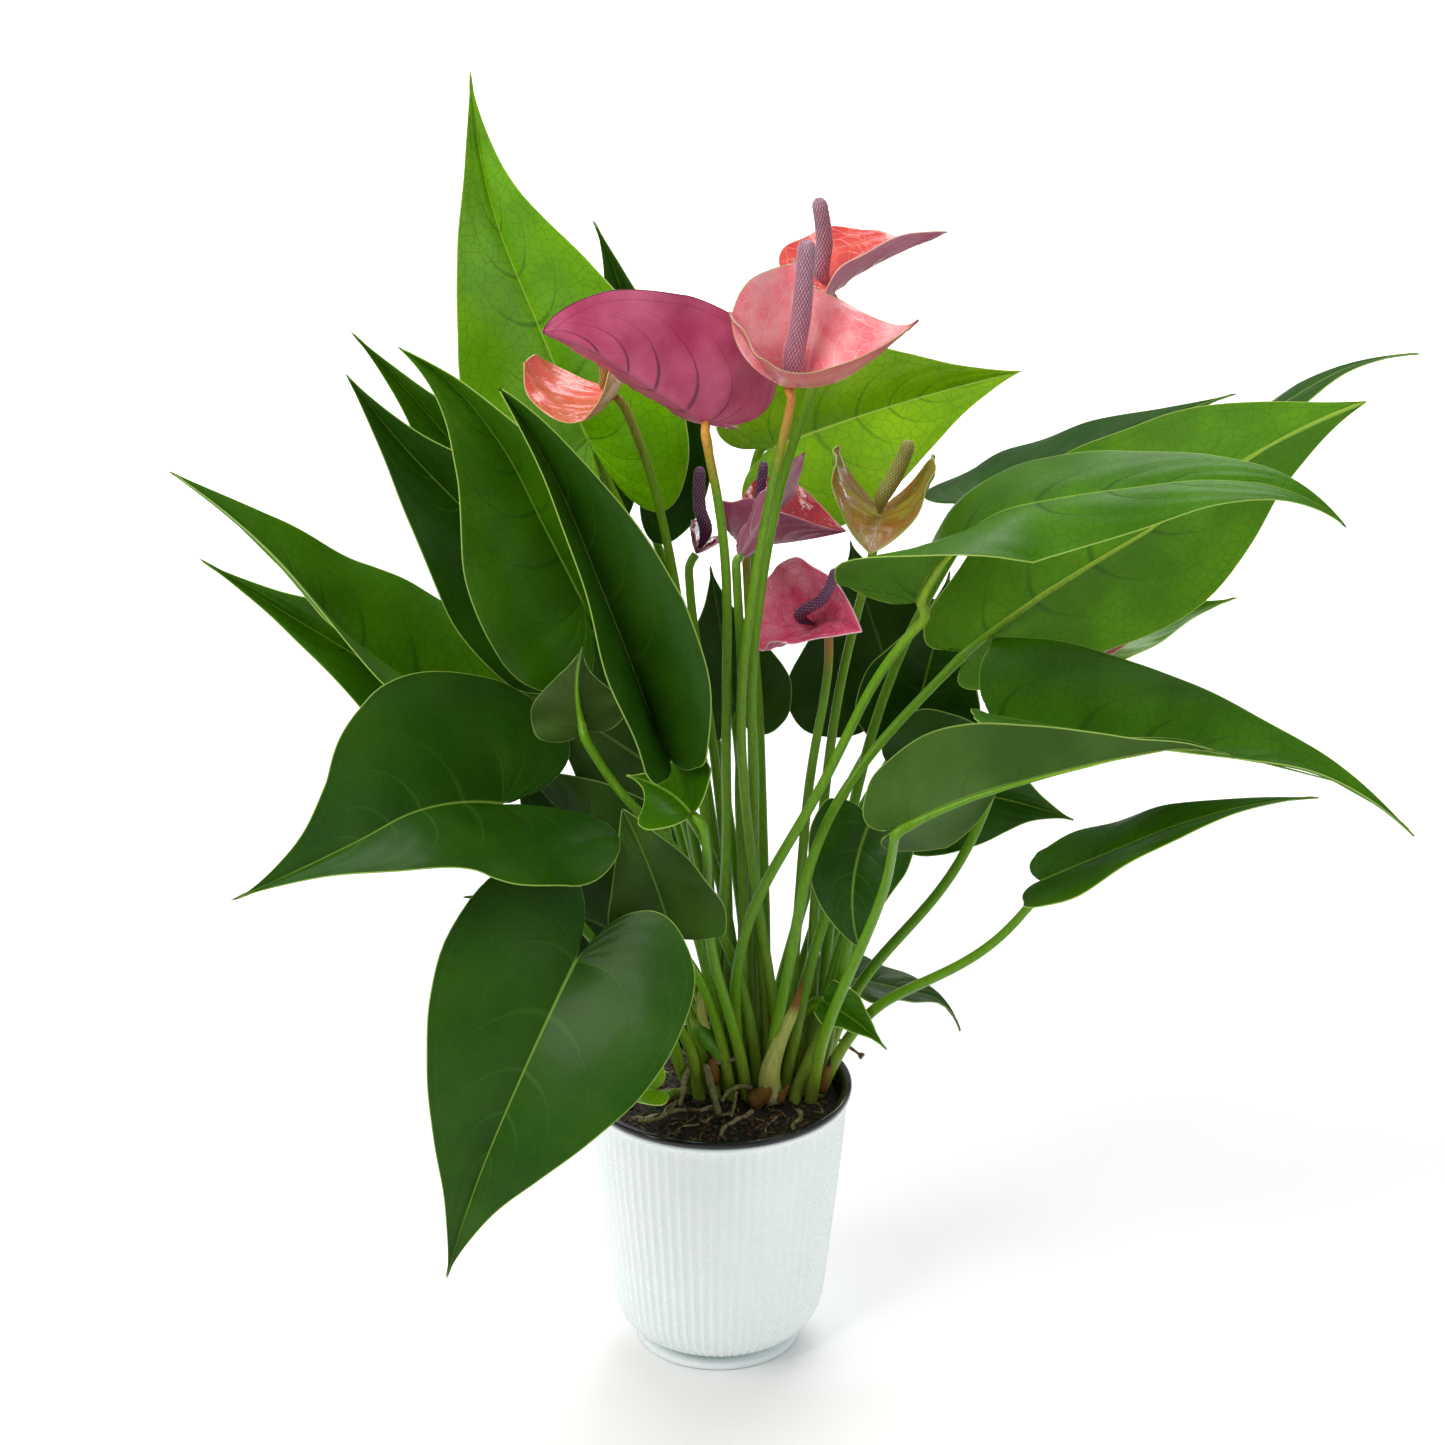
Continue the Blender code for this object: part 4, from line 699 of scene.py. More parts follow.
def thicken(blade, points, faces, marks, loop):
    """The closed blade: the sheet, its under side, and a round margin between them."""
    normals = [Vector() for _ in points]
    for face in faces:
        corners = [points[i] for i in face]
        for one, two in zip(corners[1:], corners[2:]):
            for i in face:
                normals[i] += (one - corners[0]).cross(two - corners[0])
    if sum(n.dot(blade.face()) for n in normals) < 0:
        faces = [face[::-1] for face in faces]
        normals = [-n for n in normals]
    count, under = len(points), []
    for place, normal, mark in zip(points, normals, marks):
        slim = min(1.0, mark[1][2] / (MARGIN_WIDTH * MM))
        thick = MARGIN_THICKNESS + (BLADE_THICKNESS - MARGIN_THICKNESS) * slim
        under.append(place - normal.normalized() * (thick * MM))
    kinds = [0] * len(faces) + [1] * len(faces) + [0] * len(loop)
    faces = faces + [tuple(i + count for i in face[::-1]) for face in faces]
    faces += [(a, b, b + count, a + count) for a, b in zip(loop, loop[1:] + loop[:1])]
    return points + under, faces, marks * 2, kinds


# Living leaf tissue: a waxy, clear skin over green flesh, so the highlights are soft and bluish
# where the light grazes it. The midrib and the thin margin are pale, the side veins are fine
# lines, and between them runs a faint net of cells about 5 mm across.
NET_CELL = 5.0


def tissue(name, colours, roughness, sunken, gloss, patch=34.0, coat=0.04, soft=0.0, veins=0.5, net=0.1,
           blister=0.12):
    """The skin of a blade: colours are the flesh, its second tone, veins, midrib and margin."""
    material, shader, node = new_material(name, roughness, IOR=1.45, Specular_IOR_Level=gloss,
                                          Coat_Weight=coat, Coat_Roughness=0.12, Subsurface_Weight=soft,
                                          Subsurface_Radius=(1.0, 0.6, 0.3), Subsurface_Scale=1.5 * MM)
    flesh, second, vein, midrib, margin = colours
    marks = [node("Attribute", {}, attribute_name=mark)["Vector"] for mark in ("veins", "flat", "tint")]
    ways, parts, tint = [node("SeparateXYZ", {0: mark}) for mark in marks]
    # Clouded flesh, a little different on each blade
    spot = node("CombineXYZ", {0: parts["X"], 1: parts["Y"], 2: tint["X"]})[0]
    clouds = node("TexNoise", {"Vector": spot, "Scale": 1 / (patch * MM), "Detail": 4.0})["Fac"]
    cloudy = node("MapRange", {0: clouds, 1: 0.36, 2: 0.66, 3: -0.1, 4: 0.8})[0]
    share = node("Math", {0: tint["X"], 1: 0.25, 2: cloudy}, operation="MULTIPLY_ADD")[0]
    tone = node("Mix", {0: share, 6: flesh, 7: second}, data_type="RGBA")[2]
    # Net of cells
    bent = node("TexNoise", {"Vector": spot, "Scale": 1 / (9 * MM), "Detail": 1.0})["Color"]
    moved = node("VectorMath", {0: bent, 1: (3.5 * MM,) * 3, 2: spot}, operation="MULTIPLY_ADD")["Vector"]
    cells = node("TexVoronoi", {"Vector": moved, "Scale": 1 / (NET_CELL * MM)}, feature="DISTANCE_TO_EDGE",
                 voronoi_dimensions="2D")["Distance"]
    mesh_line = node("MapRange", {0: cells, 1: 0.01, 2: 0.045, 3: 1.0, 4: 0.0})[0]
    # Side veins, from how far each place is from the nearest, and the line that joins their ends
    sway = node("MapRange", {0: clouds, 3: 0.94, 4: 1.06})[0]
    cycle = node("Math", {0: ways["X"], 1: sway}, operation="ADD")[0]
    nearest = node("Math", {0: cycle, 1: 0.5}, operation="PINGPONG")[0]
    spread = node("Math", {0: ways["Z"], 1: 6 * MM}, operation="MAXIMUM")[0]
    off_vein = node("Math", {0: nearest, 1: spread}, operation="MULTIPLY")[0]
    drawn = node("MapRange", {0: off_vein, 2: 0.5 * MM, 3: 1.0, 4: 0.0}, interpolation_type="SMOOTHSTEP")[0]
    fading = node("MapRange", {0: ways["Y"], 3: 1.0, 4: 0.1})[0]
    side_vein = node("Math", {0: drawn, 1: fading}, operation="MULTIPLY")[0]
    inward = node("Math", {0: parts["Z"], 1: 4 * MM}, operation="SUBTRACT")[0]
    off_loop = node("Math", {0: inward}, operation="ABSOLUTE")[0]
    loop = node("MapRange", {0: off_loop, 2: 0.4 * MM, 3: 0.35, 4: 0.0})[0]
    lines = node("Math", {0: side_vein, 1: loop}, operation="MAXIMUM")[0]
    # Midrib, which narrows towards the tip
    off_rib = node("Math", {0: parts["X"]}, operation="ABSOLUTE")[0]
    narrowing = node("MapRange", {0: parts["Y"], 2: 140 * MM, 3: 1.0, 4: 3.0})[0]
    across = node("Math", {0: off_rib, 1: narrowing}, operation="MULTIPLY")[0]
    rib = node("MapRange", {0: across, 2: 1.5 * MM, 3: 1.0, 4: 0.0}, interpolation_type="SMOOTHSTEP")[0]
    edge = node("MapRange", {0: parts["Z"], 1: 0.16 * MM, 2: 0.56 * MM, 3: 1.0, 4: 0.0})[0]
    layers = ((mesh_line, net, vein), (lines, veins, vein), (rib, 0.75, midrib), (edge, 0.9, margin))
    for share, strength, colour in layers:
        amount = node("Math", {0: share, 1: strength}, operation="MULTIPLY")[0]
        tone = node("Mix", {0: amount, 6: tone, 7: colour}, data_type="RGBA")[2]
    # Relief: veins sunk above and raised below, and fine pores
    pores = node("TexNoise", {"Vector": spot, "Scale": 1 / (1.4 * MM), "Detail": 3.0})["Fac"]
    height = node("Math", {0: pores, 1: 0.3}, operation="MULTIPLY")[0]
    for share, depth in ((lines, -0.9), (rib, -1.2), (mesh_line, -blister)):
        height = node("Math", {0: share, 1: depth * sunken, 2: height}, operation="MULTIPLY_ADD")[0]
    fill(shader, {
        "Base Color": tone,
        "Roughness": node("MapRange", {0: clouds, 3: roughness - 0.06, 4: roughness + 0.08})[0],
        "Normal": node("Bump", {"Strength": 0.5, "Distance": 0.3 * MM, "Height": height})["Normal"],
    })
    return material


def stem_skin(name, foot, middle, head, length, roughness=0.36):
    """The skin of a stem: colours at its foot, middle and head, over its length in mm."""
    material, shader, node = new_material(name, roughness, IOR=1.42, Specular_IOR_Level=0.3,
                                          Coat_Weight=0.05, Coat_Roughness=0.2)
    flat = node("Attribute", {}, attribute_name="flat")["Vector"]
    walked = node("MapRange", {0: node("SeparateXYZ", {0: flat})["Z"], 2: length * MM})[0]
    tone = node("ValToRGB", {0: walked})["Color"]
    stops = tone.node.color_ramp.elements
    stops[0].color, stops[1].color = linear(foot), linear(head)
    for position in (0.22, 0.88):
        stops.new(position).color = linear(middle)
    streaks = node("Mapping", {0: node("TexCoord", {})["Object"], "Scale": (1.0, 1.0, 0.12)})[0]
    fibre = node("TexNoise", {"Vector": streaks, "Scale": 1 / (1.1 * MM), "Detail": 3.0})["Fac"]
    darker = {0: 1.0, 6: tone, 7: (0.55, 0.62, 0.5, 1)}
    darker = node("Mix", darker, data_type="RGBA", blend_type="MULTIPLY")[2]
    share = node("MapRange", {0: fibre, 1: 0.4, 2: 0.75, 4: 0.7})[0]
    fill(shader, {
        "Base Color": node("Mix", {0: share, 6: tone, 7: darker}, data_type="RGBA")[2],
        "Normal": node("Bump", {"Strength": 0.15, "Distance": 0.3 * MM, "Height": fibre})["Normal"],
    })
    return material


# The ages of leaf on the plant: the skin above, then the paler, duller skin below, and which
# leaves have that age. All others are old. The last entry is no age but painted shade: darker
# copies of the skins, above and below, for the leaves deep in the plant where shade falls.
AGES_AND_PAINTED_SHADE = {
    "old": (("#1e4604", "#2c540a", "#46721e", "#84a840", "#9cbc56"),
            ("#34541a", "#446624", "#284612", "#7c9c46", "#9cbc5a"), ""),
    "grown": (("#356402", "#457a04", "#224c03", "#86ae3a", "#a4c65a"),
              ("#3a6410", "#4c7a16", "#2a5008", "#84a640", "#a4c65a"),
              "upper_left left_long left_under left_back right_tail right_low right_front fold_small "
              "low_tip"),
    "bright": (("#5c9802", "#76b606", "#346604", "#a2c64c", "#bad86c"),
               ("#4c8008", "#649c10", "#30600a", "#9cc048", "#bad86c"), "crest right_great right_under"),
    "young": (("#6ea402", "#90c206", "#427808", "#b4d25c", "#c6e078"),
              ("#689a16", "#80b228", "#487c14", "#b4d25c", "#c6e078"), "gold rim"),
    # Painted shade: darker skins, above and below, for the leaves that sit in the plant's shade
    "shaded": (("#24400b", "#335214", "#1b380b", "#5e7e3a", "#82a054"),
               ("#344c1a", "#446424", "#284010", "#5e7e3a", "#82a054"),
               "backlit shade_left shade_front low_right centre_back centre_deep centre_left small_heart"),
}
BRIGHT_SLOTS = "crest upper_left left_long gold right_great right_tail fold_small right_under"
skins, ages_and_painted_shade = {}, {}
for age, (above, below, names) in AGES_AND_PAINTED_SHADE.items():
    net, veins = (0.12, 0.34) if age in ("old", "shaded") else (0.55, 0.7)
    shine = (0.28, 0.8, 0.3) if age in ("bright", "young") else (0.38, 0.8, 0.14)
    skins[age] = [tissue("leaf_skin_%s_upper" % age, above, *shine, veins=veins, net=net),
                  tissue("leaf_skin_%s_under" % age, below, 0.5, -0.6, 0.12, coat=0.0, veins=veins, net=net)]
    ages_and_painted_shade |= {name: age for name in names.split()}
petiole_skin = stem_skin("petiole_skin_green", "#98ae3e", "#62940f", "#94b82c", 300)
LEAF_VEINS, LEAF_QUILT, LEAF_SWEEP = 9, 0.35, 0.2
STEM_SIDES, STEM_STEP = 14, 3.0
KNEE_LENGTH, KNEE_SWELL = 12.0, 0.16
FOOT_SWELL, SWELL_LENGTH = 0.15, 30.0
RIDGE = ((0.04, 0.85), (0.10, 0.75), (0.20, 0.62), (0.32, 0.5), (0.46, 0.38), (0.62, 0.27), (0.78, 0.17),
         (0.9, 0.1))


def stem_tube(blade, radius, is_leaf, start):
    """A stem along its eased route; a petiole has a knee below its blade and a ridge under it."""
    path = routes[blade.name]
    count = round(path.length / (STEM_STEP * MM))
    centres, radii = [], []
    for i in range(count + 1):
        share = i / count
        down, up = share * path.length / MM, (1 - share) * path.length / MM
        size = radius[0] + (radius[1] - radius[0]) * share + FOOT_SWELL * max(0.0, 1 - down / SWELL_LENGTH)
        if is_leaf:
            size *= 1 + KNEE_SWELL * max(0.0, 1 - abs(up - KNEE_LENGTH / 2) / KNEE_LENGTH)
        centres.append(path.at(share))
        radii.append(size * MM)
    for station, thin in RIDGE if is_leaf else ():
        up = (blade.axes(0, station)[2] + blade.axes(1, station)[2]).normalized()
        radii.append(radius[1] * thin * MM)
        centres.append(blade.curve.at(station) - up * (radii[-1] + MIDRIB_SINK * MM))
    return tube(centres, radii, STEM_SIDES, start)


def add_blade(name, slot, node, blade, skin, form, tint, stem=None):
    """The finished blade, with its stem where it grows as one piece with it."""
    points, faces, marks, kinds = thicken(blade, *fine_sheet(blade, *form))
    ways, flats = [m[0] for m in marks], [m[1] for m in marks]
    if stem:
        more, sides, along = stem_tube(blade, PETIOLE_RADIUS, True, len(points))
        points, faces, kinds = points + more, faces + sides, kinds + [2] * len(sides)
        ways, flats = ways + [(0.0, 0.0, 0.0)] * len(more), flats + along
        skin = skin + [stem]
    marks = {"veins": ways, "flat": flats, "tint": [(tint, 0.0, 0.0)] * len(points)}
    add_piece(name, slot, [node], points, faces, skin, kinds, marks)


for number, blade in enumerate(LEAVES):
    name = "leaf_" + blade.name
    slot = "bright_leaf" if blade.name in BRIGHT_SLOTS.split() else "dark_leaf"
    add_blade(name + "_skin", slot, name, blade, skins[ages_and_painted_shade.get(blade.name, "old")],
              (LEAF_VEINS, LEAF_QUILT, LEAF_SWEEP), math.sin(number * 2.4), petiole_skin)


# Crown: the rhizome from which everything grows, a short knotty green stem that lies half in the
# mix, and the ten smooth flower stalks on it, orange near the blooms that have opened.
RHIZOME_RADIUS, RHIZOME_KNOTS, RHIZOME_STEPS, RHIZOME_SIDES = 3.4, 0.10, 60, 20
RHIZOME = ((-1.7, -1.4, 0.75), (-0.6, 0.6, 0.95), (1.4, 1.8, 1.1), (3.4, 1.4, 1.0), (5.4, 1.8, 1.05),
           (6.7, 0.2, 0.9), (7.1, -1.4, 0.75))
STALK_HEADS = {"pink": "#d98a4a", "purple": "#d9973f", "salmon": "#c97a4a", "magenta": "#c2603a",
               "crimson": "#8f7a30", "peach": "#a8963a"}

rhizome_skin = speckled("rhizome_bark_green", "#4a4a24", "#7d8a3e", 3.0, 0.6, 0.5)
line = Smooth([foot_place(column, 0) + Vector((0, 0, height * MM)) for column, height, _ in RHIZOME])
swell = Smooth([(column, share, 0) for column, _, share in RHIZOME])
centres, radii = [], []
for i in range(RHIZOME_STEPS + 1):
    ring = 1 + RHIZOME_KNOTS * max(0.0, math.sin(i * 1.3)) ** 3
    centres.append(line.at(i / RHIZOME_STEPS))
    radii.append(RHIZOME_RADIUS * swell.at(i / RHIZOME_STEPS).y * ring * MM)
points, faces, _ = tube(centres, radii, RHIZOME_SIDES)
add_piece("rhizome_knotty", "stalk_green", ["crown"], points, faces, [rhizome_skin])
for blade in SPATHES:
    head, length = STALK_HEADS.get(blade.name, "#6fa02c"), routes[blade.name].length / MM
    skin = stem_skin("stalk_skin_" + blade.name, "#889c34", "#6a981a", head, length)
    points, faces, marks = stem_tube(blade, STALK_RADIUS, False, 0)
    add_piece("stalk_" + blade.name, "stalk_green", ["crown"], points, faces, [skin], marks={"flat": marks})


# Spathes: the coloured leaf behind each bloom's spike, stiff and waxy, deeply quilted between
# its arching veins, and a different red on each bloom as it opens and ages.
SPATHE_VEINS, SPATHE_QUILT, SPATHE_SWEEP = 7, 0.9, 0.42
# For each bloom the inside's and the back's flesh, second tone, veins, midrib and margin
SPATHE_TONES = {
    "purple": (("#b03a5c", "#c0506c", "#7c2440", "#a04058", "#5e1a2c"),
               ("#b03e64", "#cc6688", "#581a34", "#a04862", "#521828")),
    # The pink inside's pale net is its own colour; its pale second tone, clouded all over it, is partly
    # painted highlight, pale patches standing in for the sheen on it
    "pink": (("#f27684", "#fab8bc", "#fddcdc", "#f8b49c", "#a8a05c"),
             ("#c4566a", "#d8807c", "#98384c", "#b86a60", "#8a3a38")),
    "salmon": (("#d8443f", "#e8665a", "#f09a84", "#e8806c", "#e0b4a4"),
               ("#b96a88", "#cc8aa0", "#9c4a68", "#c07a8a", "#e2b8b8")),
    "peach": (("#e0584c", "#e87c66", "#9a7040", "#d88a70", "#c2b070"),
              ("#c8885c", "#dca47c", "#8a6a3c", "#c89468", "#c2b070")),
    "roll": (("#a03c60", "#b45878", "#d8a0b4", "#b86a84", "#8c3050"),
             ("#a05474", "#bc7a94", "#d8a8bc", "#c08a9c", "#b0728a")),
    "crimson": (("#9c1626", "#b42838", "#68101c", "#98202c", "#c87c8c"),
                ("#a84470", "#bc6488", "#7c2c4c", "#a8506c", "#d894a8")),
    "wine": (("#8a2844", "#a03c58", "#641a30", "#8c3048", "#c88494"),
             ("#7c2440", "#94385a", "#5c162c", "#80304a", "#b87484")),
    "magenta": (("#ea5a84", "#f8a2b6", "#ac3052", "#dc6c86", "#f4ccd4"),
                ("#b8446a", "#cc708c", "#882c4c", "#b45470", "#e4acb8")),
    "lime": (("#a8682c", "#a0903c", "#7a4a20", "#9a8a34", "#a6c050"),
             ("#70882c", "#8ca43c", "#52681c", "#94a444", "#a6c050")),
    "hidden": (("#b84a70", "#cc6c8a", "#943858", "#b86080", "#c88a5c"),
               ("#a84468", "#c06484", "#842c50", "#a85474", "#a8b060")),
}
for number, blade in enumerate(SPATHES):
    inside, back = SPATHE_TONES[blade.name]
    wax = "spathe_wax_%s_" % blade.name
    skin = [tissue(wax + "inside", inside, 0.17, 1.2, 0.6, 13.0, 0.4, 0.1, 0.6, 0.4, 0.5),
            tissue(wax + "back", back, 0.34, -0.3, 0.4, 22.0, 0.1, 0.1, 1.0, 0.08, 0.1)]
    name = "spathe_" + blade.name
    form = (SPATHE_VEINS, SPATHE_QUILT, SPATHE_SWEEP)
    add_blade(name + "_waxy", name, name, blade, skin, form, math.sin(number * 1.7))


# Spadices: the fleshy spike of each bloom, packed all round with hundreds of tiny flowers in
# slanting rows, each a low knob with a pale dot where it opens.
# Tip, where it is seen, thickness and seat in mm, and slot
SPADICES = {
    "pink": ((807, 240, -80), 8.8, 1.75, "mauve_spadix"),
    "salmon": ((818, 198, -32), 7.6, 0.8, "mauve_spadix"),
    "peach": ((599, 356, 8), 5.0, 0.9, "olive_spadix"),
    "crimson": ((764, 461, 34), 5.0, 1.15, "dark_spadix"),
    "wine": ((700, 467, 24), 6.0, 1.55, "dark_spadix"),
    "magenta": ((835, 570, -37), 5.2, 1.2, "dark_spadix"),
    "lime": ((910, 440, 28), 7.4, 1.75, "olive_spadix"),
    "purple": (None, 7.6, 1.25, "mauve_spadix"),
    "hidden": (None, 5.0, 0.8, "mauve_spadix"),
}
SPADIX_LENGTH, SPADIX_SEAT, SPADIX_SUNK, SPADIX_NECK = 46.0, 4.0, 0.5, 5
SPADIX_TAPER, TIP_LENGTH, TIP_SHARE = 0.18, 4.0, 0.05
FLORET_PITCH, FLORET_RISE, FLORET_SAMPLES, VALLEY = 1.5, 0.5, 4, 0.6
SPADIX_ENDS = ((0.0, 0.25), (3.0, 0.5), (6.0, 0.8), (9.0, 0.96), (12.0, 1.0))


def spadix_flesh(name, knob, valley, dot):
    """Matte, fleshy skin coloured by each floret's height, which the mesh carries as a mark."""
    material, shader, node = new_material(name, 0.55, Subsurface_Weight=0.1, Subsurface_Scale=1.2 * MM,
                                          Subsurface_Radius=(1.0, 0.6, 0.5))
    rise = node("SeparateXYZ", {0: node("Attribute", {}, attribute_name="flat")["Vector"]})["X"]
    place = node("TexCoord", {})["Object"]
    clouds = node("TexNoise", {"Vector": place, "Scale": 1 / (2.5 * MM), "Detail": 3.0})["Fac"]
    tone = node("ValToRGB", {0: rise})["Color"]
    stops = tone.node.color_ramp.elements
    stops[0].color, stops[1].color = linear(valley), linear(dot)
    stops[0].position, stops[1].position = 0.2, 0.86
    for position in (0.45, 0.74):
        stops.new(position).color = linear(knob)
    share = node("MapRange", {0: clouds, 1: 0.35, 2: 0.7, 4: 0.35})[0]
    fill(shader, {"Base Color": node("Mix", {0: share, 6: tone, 7: valley}, data_type="RGBA")[2]})
    return material


flesh = {
    "mauve_spadix": spadix_flesh("mauve_spadix_flesh", "#a87c90", "#6e4c62", "#f4e2e2"),
    "dark_spadix": spadix_flesh("dark_spadix_flesh", "#6c4068", "#3c2044", "#d8bcc8"),
    "olive_spadix": spadix_flesh("olive_spadix_flesh", "#a09c4c", "#66722c", "#e8dc98"),
}
for blade in SPATHES:
    if blade.name not in SPADICES:
        continue
    tip, thickness, seat, slot = SPADICES[blade.name]
    face = blade.face()
    foot = blade.curve.at(0) + (face * seat + blade.curve.along(0) * SPADIX_SEAT) * MM
    end = from_picture(*tip) if tip else foot + face * SPADIX_LENGTH * MM
    path = Smooth([foot - face * SPADIX_SUNK * MM, foot + face * SPADIX_NECK * MM, foot.lerp(end, 0.5), end])
    length = path.length / MM
    around = max(8, round(math.pi * thickness / FLORET_PITCH))
    sides, rings = around * FLORET_SAMPLES, round(length / FLORET_PITCH * FLORET_SAMPLES)
    centres, radii, marks = [], [], []
    for i in range(rings + 1):
        share = i / rings
        grown = np.interp(share * length, *zip(*SPADIX_ENDS)) * (1 - SPADIX_TAPER * share)
        blunt = math.sqrt(max(0.0, 1 - max(0.0, 1 - (1 - share) * length / TIP_LENGTH) ** 2))
        centres.append(path.at(share))
        radii.append(max(grown * blunt, TIP_SHARE) * thickness / 2 * MM)
    points, faces, _ = tube(centres, radii, sides)
    for number, place in enumerate(points):
        i, k = divmod(number, sides)
        knob = 0.5 + 0.5 * math.cos(math.tau * k * around / sides) * math.cos(math.pi * i / FLORET_SAMPLES)
        rise = min(1.0, radii[i] / (FLORET_PITCH * MM)) * FLORET_RISE * MM * (knob - VALLEY)
        points[number] = place + (place - centres[i]).normalized() * rise
        marks.append((knob, i / rings, 0.0))
    name = "spadix_" + blade.name
    add_piece(name + "_florets", slot, [name], points, faces, [flesh[slot]], marks={"flat": marks})


# Sheaths: each new leaf breaks out of a papery sheath that stays round the stems' feet, cream
# where it is fresh, then yellow and brown from its tip down as it dries. They taper to a point.
# For each: its line in picture points, radius in mm, arc in degrees, turn from the front, kind
SHEATHS = (
    (((773, 1099, -10), (769, 1078, -11), (778, 1042, -10), (792, 1006, -9), (801, 975, -9)),
     4.6, 210, 0.3, "fresh"),
    (((754, 1101, -12), (764, 1093, -13), (773, 1081, -12)), 4.4, 240, 0.0, "stub"),
    (((776, 1101, -11), (781, 1092, -12), (786, 1083, -11)), 3.0, 200, 0.5, "stub"),
    (((703, 1014, -8), (706, 975, -8), (710, 945, -8), (712, 920, -8)), 2.4, 150, 0.0, "yellow"),
    (((708, 1040, -7), (703, 1012, -8), (705, 976, -8)), 3.8, 170, -0.5, "fresh"),
    (((713, 1082, -9), (712, 1064, -10), (705, 1049, -11)), 2.6, 190, 0.4, "stub"),
    (((649, 1092, -16), (651, 1074, -18), (655, 1056, -18)), 1.8, 180, 0.0, "fresh"),
    (((722, 1058, -9), (706, 1038, -10), (689, 1014, -10)), 3.6, 350, 0.0, "bud"),
    (((820, 1090, -4), (826, 1072, -5), (829, 1055, -4)), 2.4, 200, 0.2, "stub"),
)
# Others hug the stems behind: the stem, where they end on it in mm, and the same values
HUGGING = (
    ("upper_left", 42, 160, 5.0, "yellow"), ("right_tail", 30, 170, 5.2, "dry"),
    ("gold", 48, 140, 4.7, "dry"), ("crest", 36, 160, 1.8, "dry"),
    ("left_back", 26, 170, 2.2, "stub"), ("right_back", 40, 150, 1.4, "yellow"),
)
SHEATH_SKINS = {
    "fresh": stem_skin("sheath_membrane_fresh", "#cccc98", "#b4ba5e", "#8c5c18", 50, 0.5),
    "yellow": stem_skin("sheath_membrane_yellow", "#ccc48c", "#cfa63e", "#a3742c", 42, 0.55),
    "dry": stem_skin("sheath_membrane_dry", "#b79a66", "#8f6534", "#5e3a1c", 36, 0.6),
    "stub": stem_skin("sheath_membrane_stub", "#402812", "#805a20", "#34200e", 14, 0.6),
    "bud": stem_skin("sheath_bud_green", "#7e9e3a", "#568a18", "#80a434", 22, 0.4),
}
SHEATH_STEPS, SHEATH_ARC_STEPS, SHEATH_THICKNESS = 16, 12, 0.3
HUG_STEPS, HUG_START, HUG_GAP = 5, 1, 0.6
NARROWING, OPENING, BUD_FOOT, BUD_LENGTH = 0.4, 0.95, 0.2, 0.79

lines = [(Smooth([from_picture(*p) for p in line]), *values) for line, *values in SHEATHS]
for stem, high, *values in HUGGING:
    path = routes[stem]
    along = [FOOT_DEPTH + HUG_START + (high - HUG_START) * i / HUG_STEPS for i in range(HUG_STEPS + 1)]
    line = Smooth([path.at(t * MM / path.length) for t in along])
    lines.append((line, PETIOLE_RADIUS[0] + HUG_GAP, *values))
for number, (path, radius, arc, turn, kind) in enumerate(lines):
    points, marks, grids = [], [], []
    for side in (0, 1):
        grid = []
        for i in range(SHEATH_STEPS + 1):
            share = i / SHEATH_STEPS
            centre, along = path.at(share), path.along(share)
            first = (Vector((0, -1, 0)) + along * along.y).normalized()
            second = along.cross(first)
            closing, spread = 1 - NARROWING * share, math.radians(arc)
            if kind == "bud":
                closing = math.sin(math.pi * (BUD_FOOT + BUD_LENGTH * share)) + 0.05
            else:
                spread *= 1 - share ** 1.6 * OPENING
            grid.append(range(len(points), len(points) + SHEATH_ARC_STEPS + 1))
            for k in range(SHEATH_ARC_STEPS + 1):
                ragged = 0.06 * math.sin(k * 2.1 + number) + 0.05 * math.sin(share * 11 + number * 2)
                angle = turn + spread * (k / SHEATH_ARC_STEPS - 0.5)
                reach = radius * (closing + ragged) + SHEATH_THICKNESS * side
                points.append(centre + (first * math.cos(angle) + second * math.sin(angle)) * (reach * MM))
                marks.append((0.0, 0.0, share * path.length))
        grids.append(grid)
    rims = [[*grid[0], *(row[-1] for row in grid[1:]), *grid[-1][-2::-1], *(row[0] for row in grid[-2:0:-1])]
            for grid in grids]
    faces = [face[::-1] for face in bands(grids[0], False)] + bands(grids[1], False) + bands(rims)
    name = "sheath_%s_%d" % (kind, number)
    add_piece(name, "aerial_root", [], points, faces, [SHEATH_SKINS[kind]], marks={"flat": marks})


# Short roots: fleshy, olive-grey ones that leave the stems' feet and dive into the mix
SHORT_ROOTS = (
    (((692, 1060, -8), (685, 1078, -14), (682, 1096, -18), (678, 1106, -22)), 1.6),
    (((706, 1064, -10), (711, 1084, -15), (716, 1103, -20), (719, 1115, -25)), 2.0),
    (((736, 1092, -13), (734, 1106, -19), (731, 1117, -25)), 0.9),
    (((638, 1121, -31), (657, 1119, -30), (668, 1112, -27), (676, 1100, -20)), 1.0),
    (((714, 1062, -10), (728, 1060, -10), (744, 1058, -9)), 1.5),
    (((752, 1088, -10), (742, 1086, -11), (728, 1092, -15), (722, 1102, -20)), 1.3),
)
SHORT_STEPS, SHORT_TAPER = 24, 0.3
root_flesh = speckled("root_flesh_olive", "#54542e", "#948e5c", 1.6, 0.55, 0.3)
for number, (line, radius) in enumerate(SHORT_ROOTS):
    path = Smooth([from_picture(*p) for p in line])
    centres, radii = [], []
    for i in range(SHORT_STEPS + 1):
        taper = 1 - SHORT_TAPER * i / SHORT_STEPS
        centres.append(path.at(i / SHORT_STEPS))
        radii.append(radius * MM * (1 + 0.12 * math.sin(i * 0.9 + number)) * taper)
    root = tube(centres, radii, ROOT_SIDES)
    add_piece("short_root_%d" % number, "aerial_root", [], *root[:2], [root_flesh])


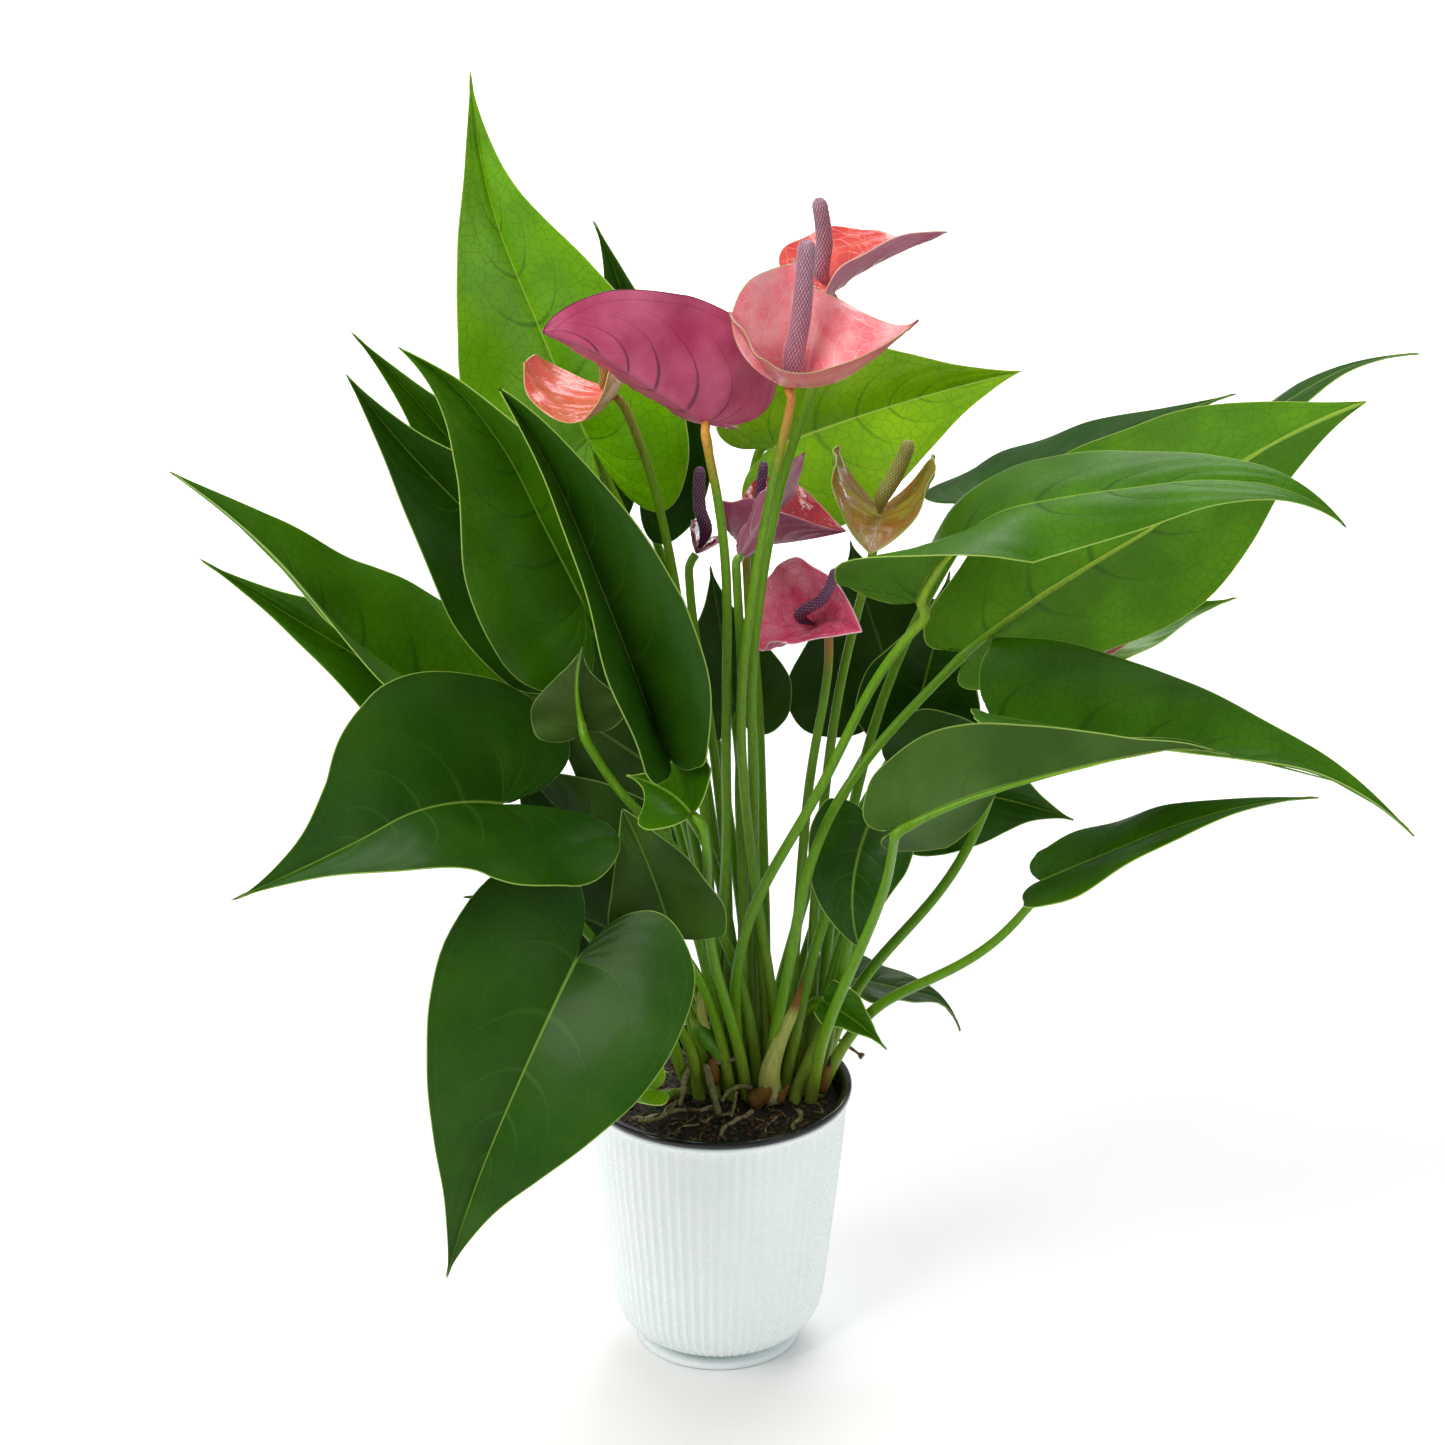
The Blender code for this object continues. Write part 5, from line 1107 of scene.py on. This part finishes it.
# Twig: one dead stalk with a knob end, which leans on the pot's rim at the right
TWIG = ((806, 1017, 34), (826, 1031, 31), (845, 1044, 28.5), (863, 1057, 26))
TWIG_RADIUS, TWIG_KNOB, TWIG_SIDES = 0.75, 1.1, 10
dead_wood = speckled("stalk_dead_wood", "#4a3826", "#94805e", 1.5, 0.8, 0.4)
path = Smooth([from_picture(*p) for p in TWIG])
centres, radii = [], []
for i in range(SHORT_STEPS + 1):
    knob = TWIG_KNOB if i > SHORT_STEPS - 2 else 0
    centres.append(path.at(i / SHORT_STEPS))
    radii.append(TWIG_RADIUS * MM * (1 + 0.15 * math.sin(i * 1.1) + knob))
add_piece("twig_dry", "aerial_root", [], *tube(centres, radii, TWIG_SIDES)[:2], [dead_wood])


# Studio: a plain pale floor under a bright, even sky, a large soft light at the upper left in
# front, a weaker one at the right, one from behind that catches the leaves' edges, and a narrow
# one that whitens the floor behind the plant.
FLOOR_SIZE, SKY_STRENGTH = 24.0, 0.4
floor_paint, shader, node = new_material("floor_paper_white", 0.9)
fill(shader, {"Base Color": "#f6f6f6"})
corners = [(x * FLOOR_SIZE / 2, y * FLOOR_SIZE / 2, 0) for x, y in ((-1, -1), (1, -1), (1, 1), (-1, 1))]
floor = add_piece("studio_floor", None, [], corners, [(0, 1, 2, 3)], [floor_paint])

# Place, where it points, size, power in watts, spread and colour of each soft light
SOFT_LIGHTS = (
    ((-1.4, -1.2, 2.4), (0, 0, 0.3), 1.7, 64.0, 180, "#fffaf4"),
    ((2.2, -1.2, 1.8), (0, 0, 0.3), 1.8, 10.0, 180, "#f4f8ff"),
    ((0.6, 1.7, 2.2), (0, 0, 0.35), 1.6, 26.0, 180, "#ffffff"),
    ((0.0, 2.9, 2.2), (0, 2.7, 0.0), 3.0, 66.0, 100, "#ffffff"),
)
for number, (place, target, size, power, spread, colour) in enumerate(SOFT_LIGHTS):
    data = bpy.data.lights.new("soft_light_%d" % number, "AREA")
    data.shape, data.size, data.energy, data.color = "SQUARE", size, power, linear(colour)[:3]
    data.spread = math.radians(spread)
    light = bpy.data.objects.new(data.name, data)
    light.location = place
    light.rotation_euler = (Vector(target) - Vector(place)).to_track_quat("-Z", "Y").to_euler()
    bpy.context.collection.objects.link(light)

world = bpy.data.worlds.new("studio_sky")
world.use_nodes = True
fill(world.node_tree.nodes["Background"], {"Color": "#ffffff", "Strength": SKY_STRENGTH})
bpy.context.scene.world = world
bpy.context.scene.view_settings.view_transform = "Standard"

# Camera: as the photograph was taken, level, straight ahead and 23.5 degrees down
SENSOR = 36.0
data = bpy.data.cameras.new("photograph")
data.sensor_width = SENSOR
data.sensor_fit = "HORIZONTAL"
data.lens = FOCAL_LENGTH / PICTURE_WIDTH * SENSOR
camera = bpy.data.objects.new("photograph", data)
camera.location = EYE
camera.rotation_euler = (math.pi / 2 - LOOK_DOWN, 0, 0)
bpy.context.collection.objects.link(camera)
bpy.context.scene.camera = camera
